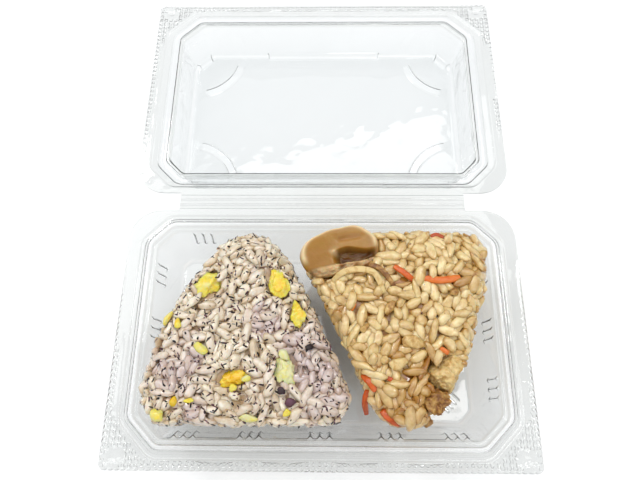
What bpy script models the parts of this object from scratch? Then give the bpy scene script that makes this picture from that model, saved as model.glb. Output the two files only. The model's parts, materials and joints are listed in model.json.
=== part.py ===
"""Two rice balls in a clear hinged pack that lies open on a table.

Metres, +Z up. The origin is the centre of the tray's flat underside. The tray's front is
at -Y, and the open lid lies behind it, at +Y, with its hollow facing up.

Both halves of the pack are drawn in hinge coordinates: x across, u the distance from the
hinge line, z up. The tray runs from the hinge towards -Y and the lid towards +Y.
"""

import math
from collections import namedtuple

import bmesh
import bpy
from mathutils import Matrix, Vector, noise

# ---- driving dimensions of the pack -------------------------------------------------
FILM = 0.0004  # thickness of the moulded film
RIM_Z = 0.020  # height of the flat flange, the same on both halves
HINGE_Y = 0.053  # the fold line, behind the tray
HINGE_GAP = 0.00015  # half of the clearance at the fold, sideways and upwards
FLANGE_HALF_X = 0.077
FLANGE_NEAR = 0.004  # flange edge beside the hinge, from the fold line
FLANGE_FAR = 0.102  # flange edge at the opening side
FLANGE_NEAR_RADIUS = 0.012
FLANGE_FAR_RADIUS = 0.0025
HINGE_HALF_X = 0.058  # half length of the hinge web
WEB_LAP = 0.001  # how far the web runs into the flange
RIDGE_HEIGHT = 0.0016  # snap ridge round the tray's mouth
MATING_GAP = 0.00045  # clearance between the tray's ridge and the lid's groove
GROOVE_DEPTH = 0.0019
BAND_DROP = 0.0005  # the lid's band round the groove lies this far below its flange
TOUCH_GAP = 0.0003  # clearance between pieces that touch
WALL_GAP = 0.0005  # clearance between the rice and the walls of the shut pack

# An octagonal outline: half width, hinge-side edge, far edge, and the legs of the cut corners.
Rect = namedtuple("Rect", "half_x near far near_cut far_cut")
TRAY_MOUTH = Rect(0.0653, 0.0128, 0.0918, 0.0065, 0.0085)
LID_MOUTH = Rect(0.0647, 0.0131, 0.0907, 0.0062, 0.0092)
LID_BAND = Rect(0.0728, 0.0068, 0.0981, 0.0095, 0.0125)
TRAY_DRAFT = 0.0072  # how far the tray's wall leans in, top to foot
LID_DRAFT = 0.0032
TRAY_LIP = (0.0006, 0.0009)  # the wall's rounded top edge: how far it runs in and down
LID_LIP = (0.0004, 0.0009)
FOOT_ROUND = 0.0012  # size of the bevel between a wall and its floor
CORNER_STEPS = 6
CORNER_ROUNDING = 0.0025  # radius that softens the cut corners' ends

# Offsets from the tray's mouth out to the foot and top of the ridge's two sides.
RIDGE_IN_FOOT, RIDGE_IN_TOP, RIDGE_OUT_TOP, RIDGE_OUT_FOOT = 0.0013, 0.0018, 0.0033, 0.0040

# Moulded ribs: groups of three short bars on the tray's walls, and curved bands on the lid's panel.
WALL_RIB = (0.0016, 0.0012, 0.0050)  # width along the wall, depth, height
WALL_RIB_PITCH = 0.0034
WALL_RIB_TOP = 0.0012  # how far below the rim the bars start
FAR_RIBS = (-0.0485, -0.0250, 0.0, 0.0250, 0.0485)  # x of each group
NEAR_RIBS = (-0.0475, 0.0475)
SIDE_RIBS = (0.0305, 0.0520, 0.0735)  # u of each group
ARC_RADIUS, ARC_WIDTH, ARC_HEIGHT = 0.0215, 0.0046, 0.0006
ARC_STEPS = 10
ARC_SWEEP = (12, 78)  # degrees from the panel's side

# ---- driving dimensions of the food -------------------------------------------------
BALL_BOTTOM = FILM + TOUCH_GAP + 0.0001
BALL_SHOULDER = 0.024  # height at which the rice balls are widest
BALL_TOP = 0.0312
GRAIN_RELIEF = 0.0005  # how far the outline wanders in and out
# Corner circles (x, y, radius) of each rounded triangle, and the bulge of the side after each.
SHISO_CORNERS = [(-0.0272, 0.0205, 0.0160), (-0.0538, -0.0243, 0.0107), (0.0004, -0.0243, 0.0106)]
SHISO_BULGES = [0.0042, 0.0, 0.0008]
MIXED_CORNERS = [(0.0535, 0.0268, 0.0112), (0.0040, 0.0248, 0.0105), (0.0305, -0.0207, 0.0148)]
MIXED_BULGES = [0.0012, -0.0006, 0.0030]

# Toppings as (centre, size, turn about Z in degrees).
PICKLES = [
    ((-0.0416, 0.0154, 0.0290), (0.0085, 0.0084, 0.0050), 30),
    ((-0.0160, 0.0159, 0.0304), (0.0066, 0.0105, 0.0046), 25),
    ((-0.0303, -0.0186, 0.0308), (0.0088, 0.0062, 0.0042), 10),
    ((-0.0121, -0.0158, 0.0308), (0.0064, 0.0086, 0.0042), -10),
    ((-0.0083, 0.0043, 0.0300), (0.0052, 0.0078, 0.0046), 15),
]
TOFU = [
    ((0.0438, -0.0168, 0.0272), (0.0128, 0.0110, 0.0096), 25),
    ((0.0396, -0.0268, 0.0265), (0.0084, 0.0080, 0.0090), -15),
]
MUSHROOM_CENTRE = (0.0064, 0.0276, 0.0288)
MUSHROOM_SIZE = (0.0300, 0.0165, 0.0135)
MUSHROOM_TURN = 16
# The hollow scooped out of the mushroom's front edge, from its centre.
HOLLOW_OFFSET = Vector((0.0052, -0.0062, 0.0036))
HOLLOW_SIZE = (0.0175, 0.0080, 0.0078)


def material(name, color, roughness, alpha=1.0):
    made = bpy.data.materials.new(name)
    made.use_nodes = True
    made.diffuse_color = (*color, alpha)
    shader = made.node_tree.nodes["Principled BSDF"]
    shader.inputs["Base Color"].default_value = (*color, 1)
    shader.inputs["Roughness"].default_value = roughness
    shader.inputs["Metallic"].default_value = 0.0
    shader.inputs["Alpha"].default_value = alpha
    return made


def new_object(name, bm, finish, helper=False):
    """A mesh object made from a bmesh, faces pointing out."""
    bmesh.ops.recalc_face_normals(bm, faces=bm.faces)
    mesh = bpy.data.meshes.new(name)
    bm.to_mesh(mesh)
    bm.free()
    obj = bpy.data.objects.new(name, mesh)
    bpy.context.scene.collection.objects.link(obj)
    mesh.shade_smooth()
    mesh.set_sharp_from_angle(angle=math.radians(35))
    if finish:
        mesh.materials.append(finish)
    if helper:
        obj.hide_render = True
        obj.display_type = "WIRE"
    return obj


def add_boolean(obj, cutter, operation):
    modifier = obj.modifiers.new(operation.title() + " " + cutter.name, "BOOLEAN")
    modifier.operation = operation
    modifier.object = cutter
    modifier.solver = "EXACT"


# ---- outlines of the pack -----------------------------------------------------------
def grow(rect, distance):
    """The octagon moved outwards by distance, its cut corners with it."""
    leg = distance * (2 - math.sqrt(2))
    return Rect(
        rect.half_x + distance,
        rect.near - distance,
        rect.far + distance,
        rect.near_cut + leg,
        rect.far_cut + leg,
    )


def fillet(before, corner, after, radius, steps):
    """Points of an arc that rounds a corner between two straight runs."""
    a, b = (before - corner).normalized(), (after - corner).normalized()
    half = a.angle(b) / 2
    reach = radius / math.tan(half)
    centre = corner + (a + b).normalized() * (radius / math.sin(half))
    start, end = corner + a * reach - centre, corner + b * reach - centre
    turn = math.pi - 2 * half
    made = []
    for i in range(steps):
        t = i / (steps - 1)
        weights = math.sin((1 - t) * turn), math.sin(t * turn)
        made.append(centre + (start * weights[0] + end * weights[1]) / math.sin(turn))
    return made


def octagon(rect):
    """The octagon's points, its eight corners rounded, in order round it from the far right side."""
    x, near, far, near_cut, far_cut = rect
    ring = [
        Vector((x, far - far_cut)),
        Vector((x - far_cut, far)),
        Vector((far_cut - x, far)),
        Vector((-x, far - far_cut)),
        Vector((-x, near + near_cut)),
        Vector((near_cut - x, near)),
        Vector((x - near_cut, near)),
        Vector((x, near + near_cut)),
    ]
    points = []
    for i, corner in enumerate(ring):
        points += fillet(ring[i - 1], corner, ring[(i + 1) % 8], CORNER_ROUNDING, CORNER_STEPS // 2)
    return points


def flange_outline():
    """The flange's outer edge: small corners at the opening side and large ones at the hinge."""
    x = FLANGE_HALF_X
    ring = [
        (Vector((x, FLANGE_FAR)), FLANGE_FAR_RADIUS),
        (Vector((-x, FLANGE_FAR)), FLANGE_FAR_RADIUS),
        (Vector((-x, FLANGE_NEAR)), FLANGE_NEAR_RADIUS),
        (Vector((x, FLANGE_NEAR)), FLANGE_NEAR_RADIUS),
    ]
    points = []
    for i, (corner, radius) in enumerate(ring):
        points += fillet(ring[i - 1][0], corner, ring[(i + 1) % 4][0], radius, CORNER_STEPS)
    return points


def pack_shell(name, levels, side, finish):
    """A thin moulded half: rings of points joined from the flange in to the panel, then thickened."""
    bm = bmesh.new()
    rings = []
    for outline, z in levels:
        rings.append([bm.verts.new((p.x, side * p.y, z)) for p in outline])
    for outer, inner in zip(rings, rings[1:]):
        for i in range(len(outer)):
            bm.faces.new((outer[i - 1], outer[i], inner[i], inner[i - 1]))
    bm.faces.new(rings[-1])
    bmesh.ops.recalc_face_normals(bm, faces=bm.faces)
    if bm.faces[-1].normal.z < 0:
        bmesh.ops.reverse_faces(bm, faces=bm.faces)
    mesh = bpy.data.meshes.new(name)
    bm.to_mesh(mesh)
    bm.free()
    mesh.materials.append(finish)
    obj = bpy.data.objects.new(name, mesh)
    bpy.context.scene.collection.objects.link(obj)
    thicken = obj.modifiers.new("Film thickness", "SOLIDIFY")
    thicken.thickness = FILM
    thicken.offset = -1
    thicken.use_even_offset = True
    return obj


def box_into(bm, centre, size, turn=Matrix.Identity(4)):
    place = Matrix.Translation(centre) @ turn @ Matrix.Diagonal((*size, 1))
    bmesh.ops.create_cube(bm, size=1, matrix=place)


def hinge_web(name, side, rim):
    """Half of the living hinge: a flat strip from the flange to just short of the fold line."""
    bm = bmesh.new()
    reach = FLANGE_NEAR + WEB_LAP - HINGE_GAP
    centre = (0, HINGE_GAP + reach / 2, rim - FILM / 2)
    box_into(bm, centre, (2 * HINGE_HALF_X, reach, FILM))
    bmesh.ops.scale(bm, vec=(1, side, 1), verts=bm.verts)
    return new_object(name, bm, None, helper=True)


def wall_ribs(name, groups):
    """Groups of three short upright bars that stand out from the tray walls' food side, under the rim.

    Each group is (wall, place along it): wall is one of left, right, near and far.
    """
    bm = bmesh.new()
    width, depth, height = WALL_RIB
    lean = math.atan2(TRAY_DRAFT, RIM_Z)
    drop = WALL_RIB_TOP + height / 2
    x, near, far = TRAY_MOUTH[:3]
    edges = {"left": -x, "right": x, "near": near, "far": far}
    for wall, place in groups:
        inward = 1 if wall in ("left", "near") else -1
        across = edges[wall] + inward * TRAY_DRAFT * drop / RIM_Z
        for step in (-1, 0, 1):
            along = place + step * WALL_RIB_PITCH
            if wall in ("left", "right"):
                centre, size = (across, along, RIM_Z - drop), (depth, width, height)
                turn = Matrix.Rotation(-inward * lean, 4, "Y")
            else:
                centre, size = (along, across, RIM_Z - drop), (width, depth, height)
                turn = Matrix.Rotation(inward * lean, 4, "X")
            box_into(bm, centre, size, turn)
    bmesh.ops.scale(bm, vec=(1, -1, 1), verts=bm.verts)
    return new_object(name, bm, None, helper=True)


def stacking_arcs(name, panel, floor):
    """Quarter-round bands at the panel's four corners, which stand out on the food side."""
    bm = bmesh.new()
    section = [
        (-0.50 * ARC_WIDTH, floor - FILM / 2),
        (-0.35 * ARC_WIDTH, floor + ARC_HEIGHT),
        (0.35 * ARC_WIDTH, floor + ARC_HEIGHT),
        (0.50 * ARC_WIDTH, floor - FILM / 2),
    ]
    corners = [(x, u) for x in (-panel.half_x, panel.half_x) for u in (panel.near, panel.far)]
    for corner_x, corner_u in corners:
        rings = []
        for i in range(ARC_STEPS + 1):
            angle = math.radians(ARC_SWEEP[0] + (ARC_SWEEP[1] - ARC_SWEEP[0]) * i / ARC_STEPS)
            out_x = -math.copysign(math.cos(angle), corner_x)
            out_u = math.sin(angle) if corner_u == panel.near else -math.sin(angle)
            ring = []
            for offset, z in section:
                r = ARC_RADIUS + offset
                ring.append(bm.verts.new((corner_x + out_x * r, corner_u + out_u * r, z)))
            rings.append(ring)
        for a, b in zip(rings, rings[1:]):
            for k in range(4):
                bm.faces.new((a[k - 1], a[k], b[k], b[k - 1]))
        bm.faces.new(rings[0])
        bm.faces.new(rings[-1])
    return new_object(name, bm, None, helper=True)


def make_tray(finish):
    mouth, foot = TRAY_MOUTH, grow(TRAY_MOUTH, FOOT_ROUND - TRAY_DRAFT)
    levels = [
        (flange_outline(), RIM_Z),
        (octagon(grow(mouth, RIDGE_OUT_FOOT)), RIM_Z),
        (octagon(grow(mouth, RIDGE_OUT_TOP)), RIM_Z + RIDGE_HEIGHT),
        (octagon(grow(mouth, RIDGE_IN_TOP)), RIM_Z + RIDGE_HEIGHT),
        (octagon(grow(mouth, RIDGE_IN_FOOT)), RIM_Z),
        (octagon(mouth), RIM_Z),
        (octagon(grow(mouth, -TRAY_LIP[0])), RIM_Z - TRAY_LIP[1]),
        (octagon(foot), FILM + FOOT_ROUND),
        (octagon(grow(foot, -FOOT_ROUND)), FILM),
    ]
    tray = pack_shell("base_tray", levels, -1, finish)
    tray.location = (0, HINGE_Y, 0)
    groups = [("far", x) for x in FAR_RIBS] + [("near", x) for x in NEAR_RIBS]
    groups += [(wall, u) for wall in ("left", "right") for u in SIDE_RIBS]
    for helper in (hinge_web("tray_hinge_web", -1, RIM_Z), wall_ribs("tray_wall_ribs", groups)):
        helper.parent = tray
        add_boolean(tray, helper, "UNION")
    return tray


def make_lid(finish):
    """The lid as it lies open, drawn from its hinge line."""
    hinge = bpy.data.objects.new("lid_hinge_axis", None)
    bpy.context.scene.collection.objects.link(hinge)
    hinge.location = (0, HINGE_Y, RIM_Z + HINGE_GAP)
    rim = -HINGE_GAP
    floor = rim - RIM_Z + FILM
    band = rim - BAND_DROP
    mouth, foot = LID_MOUTH, grow(LID_MOUTH, FOOT_ROUND - LID_DRAFT)
    panel = grow(foot, -FOOT_ROUND)
    levels = [
        (flange_outline(), rim),
        (octagon(LID_BAND), rim),
        (octagon(grow(LID_BAND, -BAND_DROP)), band),
        (octagon(grow(TRAY_MOUTH, RIDGE_OUT_FOOT + MATING_GAP)), band),
        (octagon(grow(TRAY_MOUTH, RIDGE_OUT_TOP + MATING_GAP)), rim - GROOVE_DEPTH),
        (octagon(grow(TRAY_MOUTH, RIDGE_IN_TOP - MATING_GAP)), rim - GROOVE_DEPTH),
        (octagon(grow(TRAY_MOUTH, RIDGE_IN_FOOT - MATING_GAP)), rim),
        (octagon(mouth), rim),
        (octagon(grow(mouth, -LID_LIP[0])), rim - LID_LIP[1]),
        (octagon(foot), floor + FOOT_ROUND),
        (octagon(panel), floor),
    ]
    lid = pack_shell("lid", levels, 1, finish)
    lid.parent = hinge
    for helper in (hinge_web("lid_hinge_web", 1, rim), stacking_arcs("lid_arcs", panel, floor)):
        helper.parent = lid
        add_boolean(lid, helper, "UNION")
    return lid


# ---- food ---------------------------------------------------------------------------
def rounded_triangle(corners, bulges, inset):
    """A closed outline: an arc round each corner circle and a side that may bulge after it."""
    arc_points, side_points = 7, 8
    points = []
    centres = [Vector(c[:2]) for c in corners]
    normals = []
    for i in range(3):
        run = centres[(i + 1) % 3] - centres[i]
        tilt = (corners[i][2] - corners[(i + 1) % 3][2]) / run.length
        along, out = run.normalized(), Vector((run.y, -run.x)).normalized()
        normals.append(out * math.sqrt(1 - tilt * tilt) + along * tilt)
    for i in range(3):
        radius = corners[i][2] - inset
        first, last = normals[i - 1], normals[i]
        turn = first.angle(last)
        for k in range(arc_points):
            t = k / (arc_points - 1)
            out = (first * math.sin((1 - t) * turn) + last * math.sin(t * turn)) / math.sin(turn)
            points.append(centres[i] + out * radius)
        start = centres[i] + last * radius
        end = centres[(i + 1) % 3] + last * (corners[(i + 1) % 3][2] - inset)
        for k in range(1, side_points):
            t = k / side_points
            bulge = bulges[i] * math.sin(math.pi * t)
            points.append(start.lerp(end, t) + last * bulge)
    return points


def pressed(x, y, z):
    """The point, moved in to where the walls of the shut pack would press the rice."""
    if z < RIM_Z:
        walls = grow(TRAY_MOUTH, -TRAY_LIP[0] - TRAY_DRAFT * (1 - z / RIM_Z))
    else:
        walls = grow(LID_MOUTH, -LID_LIP[0] - LID_DRAFT * (z / RIM_Z - 1))
    u = min(max(HINGE_Y - y, walls.near + WALL_GAP), walls.far - WALL_GAP)
    slack = 1.5 * WALL_GAP
    reach = min(
        walls.half_x - WALL_GAP,
        walls.half_x + walls.far - walls.far_cut - slack - u,
        walls.half_x - walls.near - walls.near_cut - slack + u,
    )
    return Vector((min(max(x, -reach), reach), HINGE_Y - u, z))


def rice_ball(name, corners, bulges, finish, seed):
    """A pressed triangle of rice: narrower at the foot, widest at the shoulder, uneven all over."""
    profile = [
        (BALL_BOTTOM, 0.0098),
        (BALL_BOTTOM + 0.0012, 0.0083),
        (0.0080, 0.0056),
        (0.0150, 0.0031),
        (0.0205, 0.0011),
        (BALL_SHOULDER, 0.0004),
        (0.0272, 0.0009),
        (0.0296, 0.0034),
        (BALL_TOP, 0.0082),
    ]
    bm = bmesh.new()
    rings = []
    for z, inset in profile:
        ring = []
        for p in rounded_triangle(corners, bulges, inset):
            wander = noise.noise_vector(Vector((p.x, p.y, z)) * 260 + Vector((seed, 0, 0)))
            wander.z *= 0 if z < 0.003 else 1
            ring.append(bm.verts.new(pressed(*(Vector((p.x, p.y, z)) + wander * GRAIN_RELIEF))))
        rings.append(ring)
    middle = sum((Vector(c[:2]) for c in corners), Vector((0, 0))) / 3
    for share, rise in ((0.62, 0.0008), (0.28, 0.0012)):
        ring = []
        for vert in rings[len(profile) - 1]:
            flat = middle.lerp(vert.co.xy, share)
            bump = noise.noise(Vector((flat.x, flat.y, 0)) * 200 + Vector((seed, 5, 0)))
            ring.append(bm.verts.new((flat.x, flat.y, BALL_TOP + rise + 0.0008 * bump)))
        rings.append(ring)
    for lower, upper in zip(rings, rings[1:]):
        for i in range(len(lower)):
            bm.faces.new((lower[i - 1], lower[i], upper[i], upper[i - 1]))
    bm.faces.new(rings[0])
    bm.faces.new(rings[-1])
    return new_object(name, bm, finish)


def lump(name, centre, size, turn_z, finish, seed, swell=0.0, helper=False, detail=1):
    """An uneven chunk: a rounded block whose surface wanders in and out."""
    bm = bmesh.new()
    bmesh.ops.create_icosphere(bm, subdivisions=detail + 1, radius=0.5)
    turn = Matrix.Rotation(math.radians(turn_z), 3, "Z")
    for vert in bm.verts:
        direction = vert.co.normalized()
        blocky = Vector(math.copysign(abs(c) ** 0.7, c) for c in direction)
        wobble = 1 + 0.10 * noise.noise(direction * 1.7 + Vector((seed, seed, 0)))
        vert.co = turn @ (Vector(a * b / 2 for a, b in zip(blocky, size)) * wobble)
    bm.normal_update()
    for vert in bm.verts:
        vert.co += vert.normal * swell
    obj = new_object(name, bm, finish, helper)
    obj.location = centre
    return obj


def mushroom(name, centre, finish, swell=0.0, helper=False):
    """A folded cap: a long dome with a hollow scooped out of its front edge."""
    cap = lump(name, centre, MUSHROOM_SIZE, MUSHROOM_TURN, finish, 3.1, swell, helper, detail=2)
    if not helper:
        place = Vector(centre) + HOLLOW_OFFSET
        hollow = lump("mushroom_hollow", place, HOLLOW_SIZE, MUSHROOM_TURN, None, 7.7, helper=True)
        add_boolean(cap, hollow, "DIFFERENCE")
    return cap


def set_into(ball, maker, *args, **kwargs):
    """Makes a topping and a slightly larger copy of it that cuts its pocket in the rice."""
    piece = maker(*args, **kwargs)
    pocket_args = (args[0] + "_pocket",) + args[1:]
    pocket = maker(*pocket_args, **kwargs, swell=TOUCH_GAP + 0.00005, helper=True)
    add_boolean(ball, pocket, "DIFFERENCE")
    return piece


def make_food():
    shiso_rice = material("shiso_rice", (0.72, 0.64, 0.66), 0.45)
    mixed_rice = material("mixed_rice", (0.72, 0.55, 0.33), 0.42)
    pickle = material("yellow_pickle", (0.80, 0.62, 0.06), 0.30)
    tofu = material("fried_tofu", (0.60, 0.43, 0.22), 0.55)
    cap = material("mushroom_cap", (0.50, 0.32, 0.14), 0.38)

    shiso = rice_ball("shiso_rice_ball", SHISO_CORNERS, SHISO_BULGES, shiso_rice, 11.0)
    mixed = rice_ball("mixed_rice_ball", MIXED_CORNERS, MIXED_BULGES, mixed_rice, 23.0)

    for number, (place, size, turn) in enumerate(PICKLES, 1):
        set_into(shiso, lump, f"pickle_{number}", place, size, turn, pickle, 2.0 * number)
    set_into(mixed, mushroom, "mushroom_piece", MUSHROOM_CENTRE, cap)
    for number, (place, size, turn) in enumerate(TOFU, 1):
        set_into(mixed, lump, f"fried_tofu_{number}", place, size, turn, tofu, 5.5 * number)


def clear_scene():
    for obj in list(bpy.data.objects):
        bpy.data.objects.remove(obj, do_unlink=True)


def main():
    clear_scene()
    film = material("clear_film", (0.93, 0.95, 0.95), 0.08, alpha=0.25)
    make_tray(film)
    make_lid(film)
    make_food()


main()
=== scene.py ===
import json
import math
from collections import namedtuple

import bmesh
import bpy
import numpy as np
from mathutils import Matrix, Vector, geometry, noise
from mathutils.bvhtree import BVHTree


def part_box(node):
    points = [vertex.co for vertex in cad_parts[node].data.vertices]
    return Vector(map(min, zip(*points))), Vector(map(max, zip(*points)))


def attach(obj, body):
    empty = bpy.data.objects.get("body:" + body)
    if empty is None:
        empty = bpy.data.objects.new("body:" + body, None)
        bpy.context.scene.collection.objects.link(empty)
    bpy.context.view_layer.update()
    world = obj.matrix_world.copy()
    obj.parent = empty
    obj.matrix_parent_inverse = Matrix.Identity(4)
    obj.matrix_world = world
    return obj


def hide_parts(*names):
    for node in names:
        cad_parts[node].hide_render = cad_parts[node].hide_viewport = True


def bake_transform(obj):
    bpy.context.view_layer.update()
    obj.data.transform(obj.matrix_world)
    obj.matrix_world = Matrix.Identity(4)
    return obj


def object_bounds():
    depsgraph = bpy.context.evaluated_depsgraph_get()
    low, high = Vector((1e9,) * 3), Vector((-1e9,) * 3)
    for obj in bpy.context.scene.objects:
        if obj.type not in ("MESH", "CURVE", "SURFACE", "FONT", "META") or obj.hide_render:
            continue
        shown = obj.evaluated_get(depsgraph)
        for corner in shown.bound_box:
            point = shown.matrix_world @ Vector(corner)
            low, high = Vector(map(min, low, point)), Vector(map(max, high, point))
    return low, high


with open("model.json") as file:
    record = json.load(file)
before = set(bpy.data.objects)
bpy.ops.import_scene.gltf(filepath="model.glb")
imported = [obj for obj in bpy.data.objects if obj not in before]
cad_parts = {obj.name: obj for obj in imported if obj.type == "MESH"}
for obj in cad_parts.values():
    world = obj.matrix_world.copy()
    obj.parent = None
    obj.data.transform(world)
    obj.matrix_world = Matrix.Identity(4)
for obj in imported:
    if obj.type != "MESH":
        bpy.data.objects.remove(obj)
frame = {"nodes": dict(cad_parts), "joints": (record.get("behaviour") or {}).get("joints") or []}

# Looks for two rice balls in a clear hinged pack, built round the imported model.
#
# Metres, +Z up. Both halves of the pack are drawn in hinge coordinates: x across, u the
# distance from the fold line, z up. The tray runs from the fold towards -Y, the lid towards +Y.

CAD_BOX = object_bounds()
noise.seed_set(1)  # otherwise noise_vector differs from run to run
HINGE = Vector(frame["joints"][0]["pos_m"])
TRAY, LID = -1, 1  # the direction along Y in which each half runs from the fold

# ---- camera ----
CAMERA_PLACE = (0.00294, -0.0410, 0.2250)
CAMERA_PITCH, CAMERA_YAW, CAMERA_ROLL = 69.32, -2.57, -2.26  # degrees, pitch below level
CAMERA_LENS = 30.94

# ---- the pack ----
FILM = 0.00035
RIM_Z = HINGE.z - 0.00015
FLOOR_Z = 0.0004  # food side of the tray's floor and, at rest, of the lid's panel
FLANGE_HALF_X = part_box("base_tray")[1].x
FLANGE_NEAR, FLANGE_FAR = 0.004, 0.102
NEAR_RADIUS, FAR_RADIUS = 0.012, 0.0025  # of the flange's corners
HINGE_HALF_X, HINGE_STRIP = 0.058, 0.003  # half sizes of the film strip along the fold line

Rect = namedtuple("Rect", "half_x near far near_cut far_cut")
TRAY_MOUTH = Rect(0.0653, 0.0128, 0.0918, 0.0065, 0.0085)
LID_MOUTH = Rect(0.0647, 0.0131, 0.0907, 0.0062, 0.0092)
LID_BAND = Rect(0.0728, 0.0068, 0.0981, 0.0095, 0.0125)
TRAY_DRAFT, LID_DRAFT, FOOT_ROUND = 0.0072, 0.0032, 0.0012
RIDGE_HEIGHT, GROOVE_DEPTH, BAND_DROP, MATING_GAP = 0.0016, 0.0019, 0.0005, 0.00045
RIDGE_IN_FOOT, RIDGE_IN_TOP, RIDGE_OUT_TOP, RIDGE_OUT_FOOT = 0.0013, 0.0018, 0.0033, 0.0040
LINE_IN, LINE_OUT, LINE_DEPTH = 0.0048, 0.0068, 0.0005  # groove along the tray's ridge

# ---- moulded detail ----
RIB_WIDTH, RIB_DEPTH, RIB_PITCH = 0.0026, 0.0009, 0.0034
RIB_TOP, RIB_FOOT = 0.0012, 0.0064  # below the rim
RIB_GROUPS = {
    "far": (-0.0485, -0.0250, 0.0, 0.0250, 0.0485), "near": (-0.0475, 0.0475),
    "left": (0.0305, 0.0520, 0.0735), "right": (0.0305, 0.0520, 0.0735),
}
KNURL_PITCH, KNURL_DEPTH = 0.0022, 0.0005
KNURL_BAND = 0.0030  # smooth band left beside the ridge
EDGE_ROWS, EDGE_WAVE = 5, 0.0004  # rows of knurl points, four to a pitch, and the edge's waves
OVAL_LENGTH, OVAL_WIDTH, OVAL_DEPTH = 0.0030, 0.0014, 0.0003
OVALS = [Vector((sign * (FLANGE_HALF_X - 0.0052), FLANGE_FAR - 0.0042)) for sign in (1, -1)]
ARC_RADIUS, ARC_WIDTH, ARC_HEIGHT = 0.0215, 0.0046, 0.0006
ARC_FROM, ARC_TO = 12, 78  # degrees
FLOOR_RIB_LENGTH, FLOOR_RIB_PITCH, FLOOR_RIB_HEIGHT = 0.0085, 0.0021, 0.0006
FLOOR_RIB_INSET = 0.0105  # from the chamfer's foot to the middle of the ribs
LEDGE_HALF_X, LEDGE_DEPTH, LEDGE_CORNER = 0.027, 0.0009, 0.0011  # steps at the lid panel's foot

# ---- the rice ----
GRAIN_LENGTH, GRAIN_WIDTH = (0.0056, 0.0094), (0.0027, 0.0040)
BROKEN = 0.14  # share of the grains that are broken short
TOP_SPACING, UNDER_SPACING = 0.0025, 0.0045
TOP_SINK = 0.0016  # how much deeper than the outline the surface grains may lie
UNDER_DEPTH = 0.0046
CORE_DEPTH, CORE_LUMPS, CORE_MESH = 0.0027, 0.0008, 0.0024
CLUMP_RELIEF = 0.0024
GRAIN_LIFT = 0.0011  # how far a grain may stand above the outline
GRAIN_LEAN = 24  # degrees from the outline, as a standard deviation
BEADS = ((-1.0, 0.72), (-0.5, 0.94), (0.0, 1.0), (0.5, 0.94), (1.0, 0.72))  # (place, size)


# ---- small helpers ----
def link(name, mesh, finish):
    mesh.materials.append(finish)
    obj = bpy.data.objects.new(name, mesh)
    bpy.context.scene.collection.objects.link(obj)
    return obj


def smooth(mesh, degrees=35):
    mesh.shade_smooth()
    mesh.set_sharp_from_angle(angle=math.radians(degrees))


def ease(t):
    t = min(max(t, 0.0), 1.0)
    return t * t * (3 - 2 * t)


def unit(vectors):
    return vectors / np.maximum(np.linalg.norm(vectors, axis=-1, keepdims=True), 1e-12)


def around(count):
    """The angles of so many points spread evenly round a circle."""
    return [2 * math.pi * k / count for k in range(count)]


def band(first, second, count):
    """Faces between two rings of points that start at the given numbers."""
    ring = [(k, (k + 1) % count) for k in range(count)]
    return [(first + a, first + b, second + b, second + a) for a, b in ring]


def feed(tree, socket, value):
    """Links an output to the socket, or sets the socket to a plain value."""
    if isinstance(value, bpy.types.NodeSocket):
        tree.links.new(value, socket)
    else:
        socket.default_value = value


def add_node(tree, kind, inputs=None, **settings):
    """A shader node with its settings, whose inputs are values or other nodes' outputs."""
    node = tree.nodes.new("ShaderNode" + kind)
    for key, value in settings.items():
        setattr(node, key, value)
    for key, value in (inputs or {}).items():
        feed(tree, node.inputs[key], value)
    return node


def new_material(name, radius=None, **sockets):
    """A Principled material with its plain values set, as (material, node tree, shader)."""
    made = bpy.data.materials.new(name)
    made.use_nodes = True
    shader = made.node_tree.nodes["Principled BSDF"]
    for key, value in sockets.items():
        shader.inputs[key.replace("_", " ").title().replace("Ior", "IOR")].default_value = value
    if radius:
        shader.inputs["Subsurface Radius"].default_value = radius
    return made, made.node_tree, shader


def ramp(tree, factor, stops):
    """A colour ramp fed by factor; stops are (place, colour)."""
    node = add_node(tree, "ValToRGB", {"Fac": factor})
    points = node.color_ramp.elements
    while len(points) < len(stops):
        points.new(0.5)
    for point, (place, colour) in zip(points, stops):
        point.position = place
        point.color = (*colour, 1)
    return node.outputs["Color"]


def mix_colour(tree, factor, a, b, blend="MIX"):
    node = add_node(tree, "Mix", data_type="RGBA", blend_type=blend)
    feed(tree, node.inputs[0], factor)
    for socket, value in ((node.inputs[6], a), (node.inputs[7], b)):
        feed(tree, socket, (*value, 1) if isinstance(value, tuple) else value)
    return node.outputs[2]


def remap(tree, value, made, taken=(0.0, 1.0)):
    """The value moved from the range taken to the range made, and held there."""
    limits = {"From Min": taken[0], "From Max": taken[1], "To Min": made[0], "To Max": made[1]}
    return add_node(tree, "MapRange", {"Value": value, **limits}).outputs["Result"]


def object_noise(tree, scale, detail=2.0, roughness=0.5, distortion=0.0):
    place = add_node(tree, "TexCoord").outputs["Object"]
    inputs = {"Vector": place, "Scale": scale, "Detail": detail, "Roughness": roughness}
    return add_node(tree, "TexNoise", {**inputs, "Distortion": distortion}).outputs["Fac"]


def own_tint(tree):
    """The four parts of the colour kept at each point of a heap."""
    tint = add_node(tree, "Attribute", attribute_name="tint").outputs
    parts = add_node(tree, "SeparateColor", {"Color": tint["Color"]}).outputs
    return parts["Red"], parts["Green"], parts["Blue"], tint["Alpha"]


def add_bump(tree, shader, height, distance, strength):
    inputs = {"Height": height, "Distance": distance, "Strength": strength}
    feed(tree, shader.inputs["Normal"], add_node(tree, "Bump", inputs).outputs["Normal"])


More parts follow.
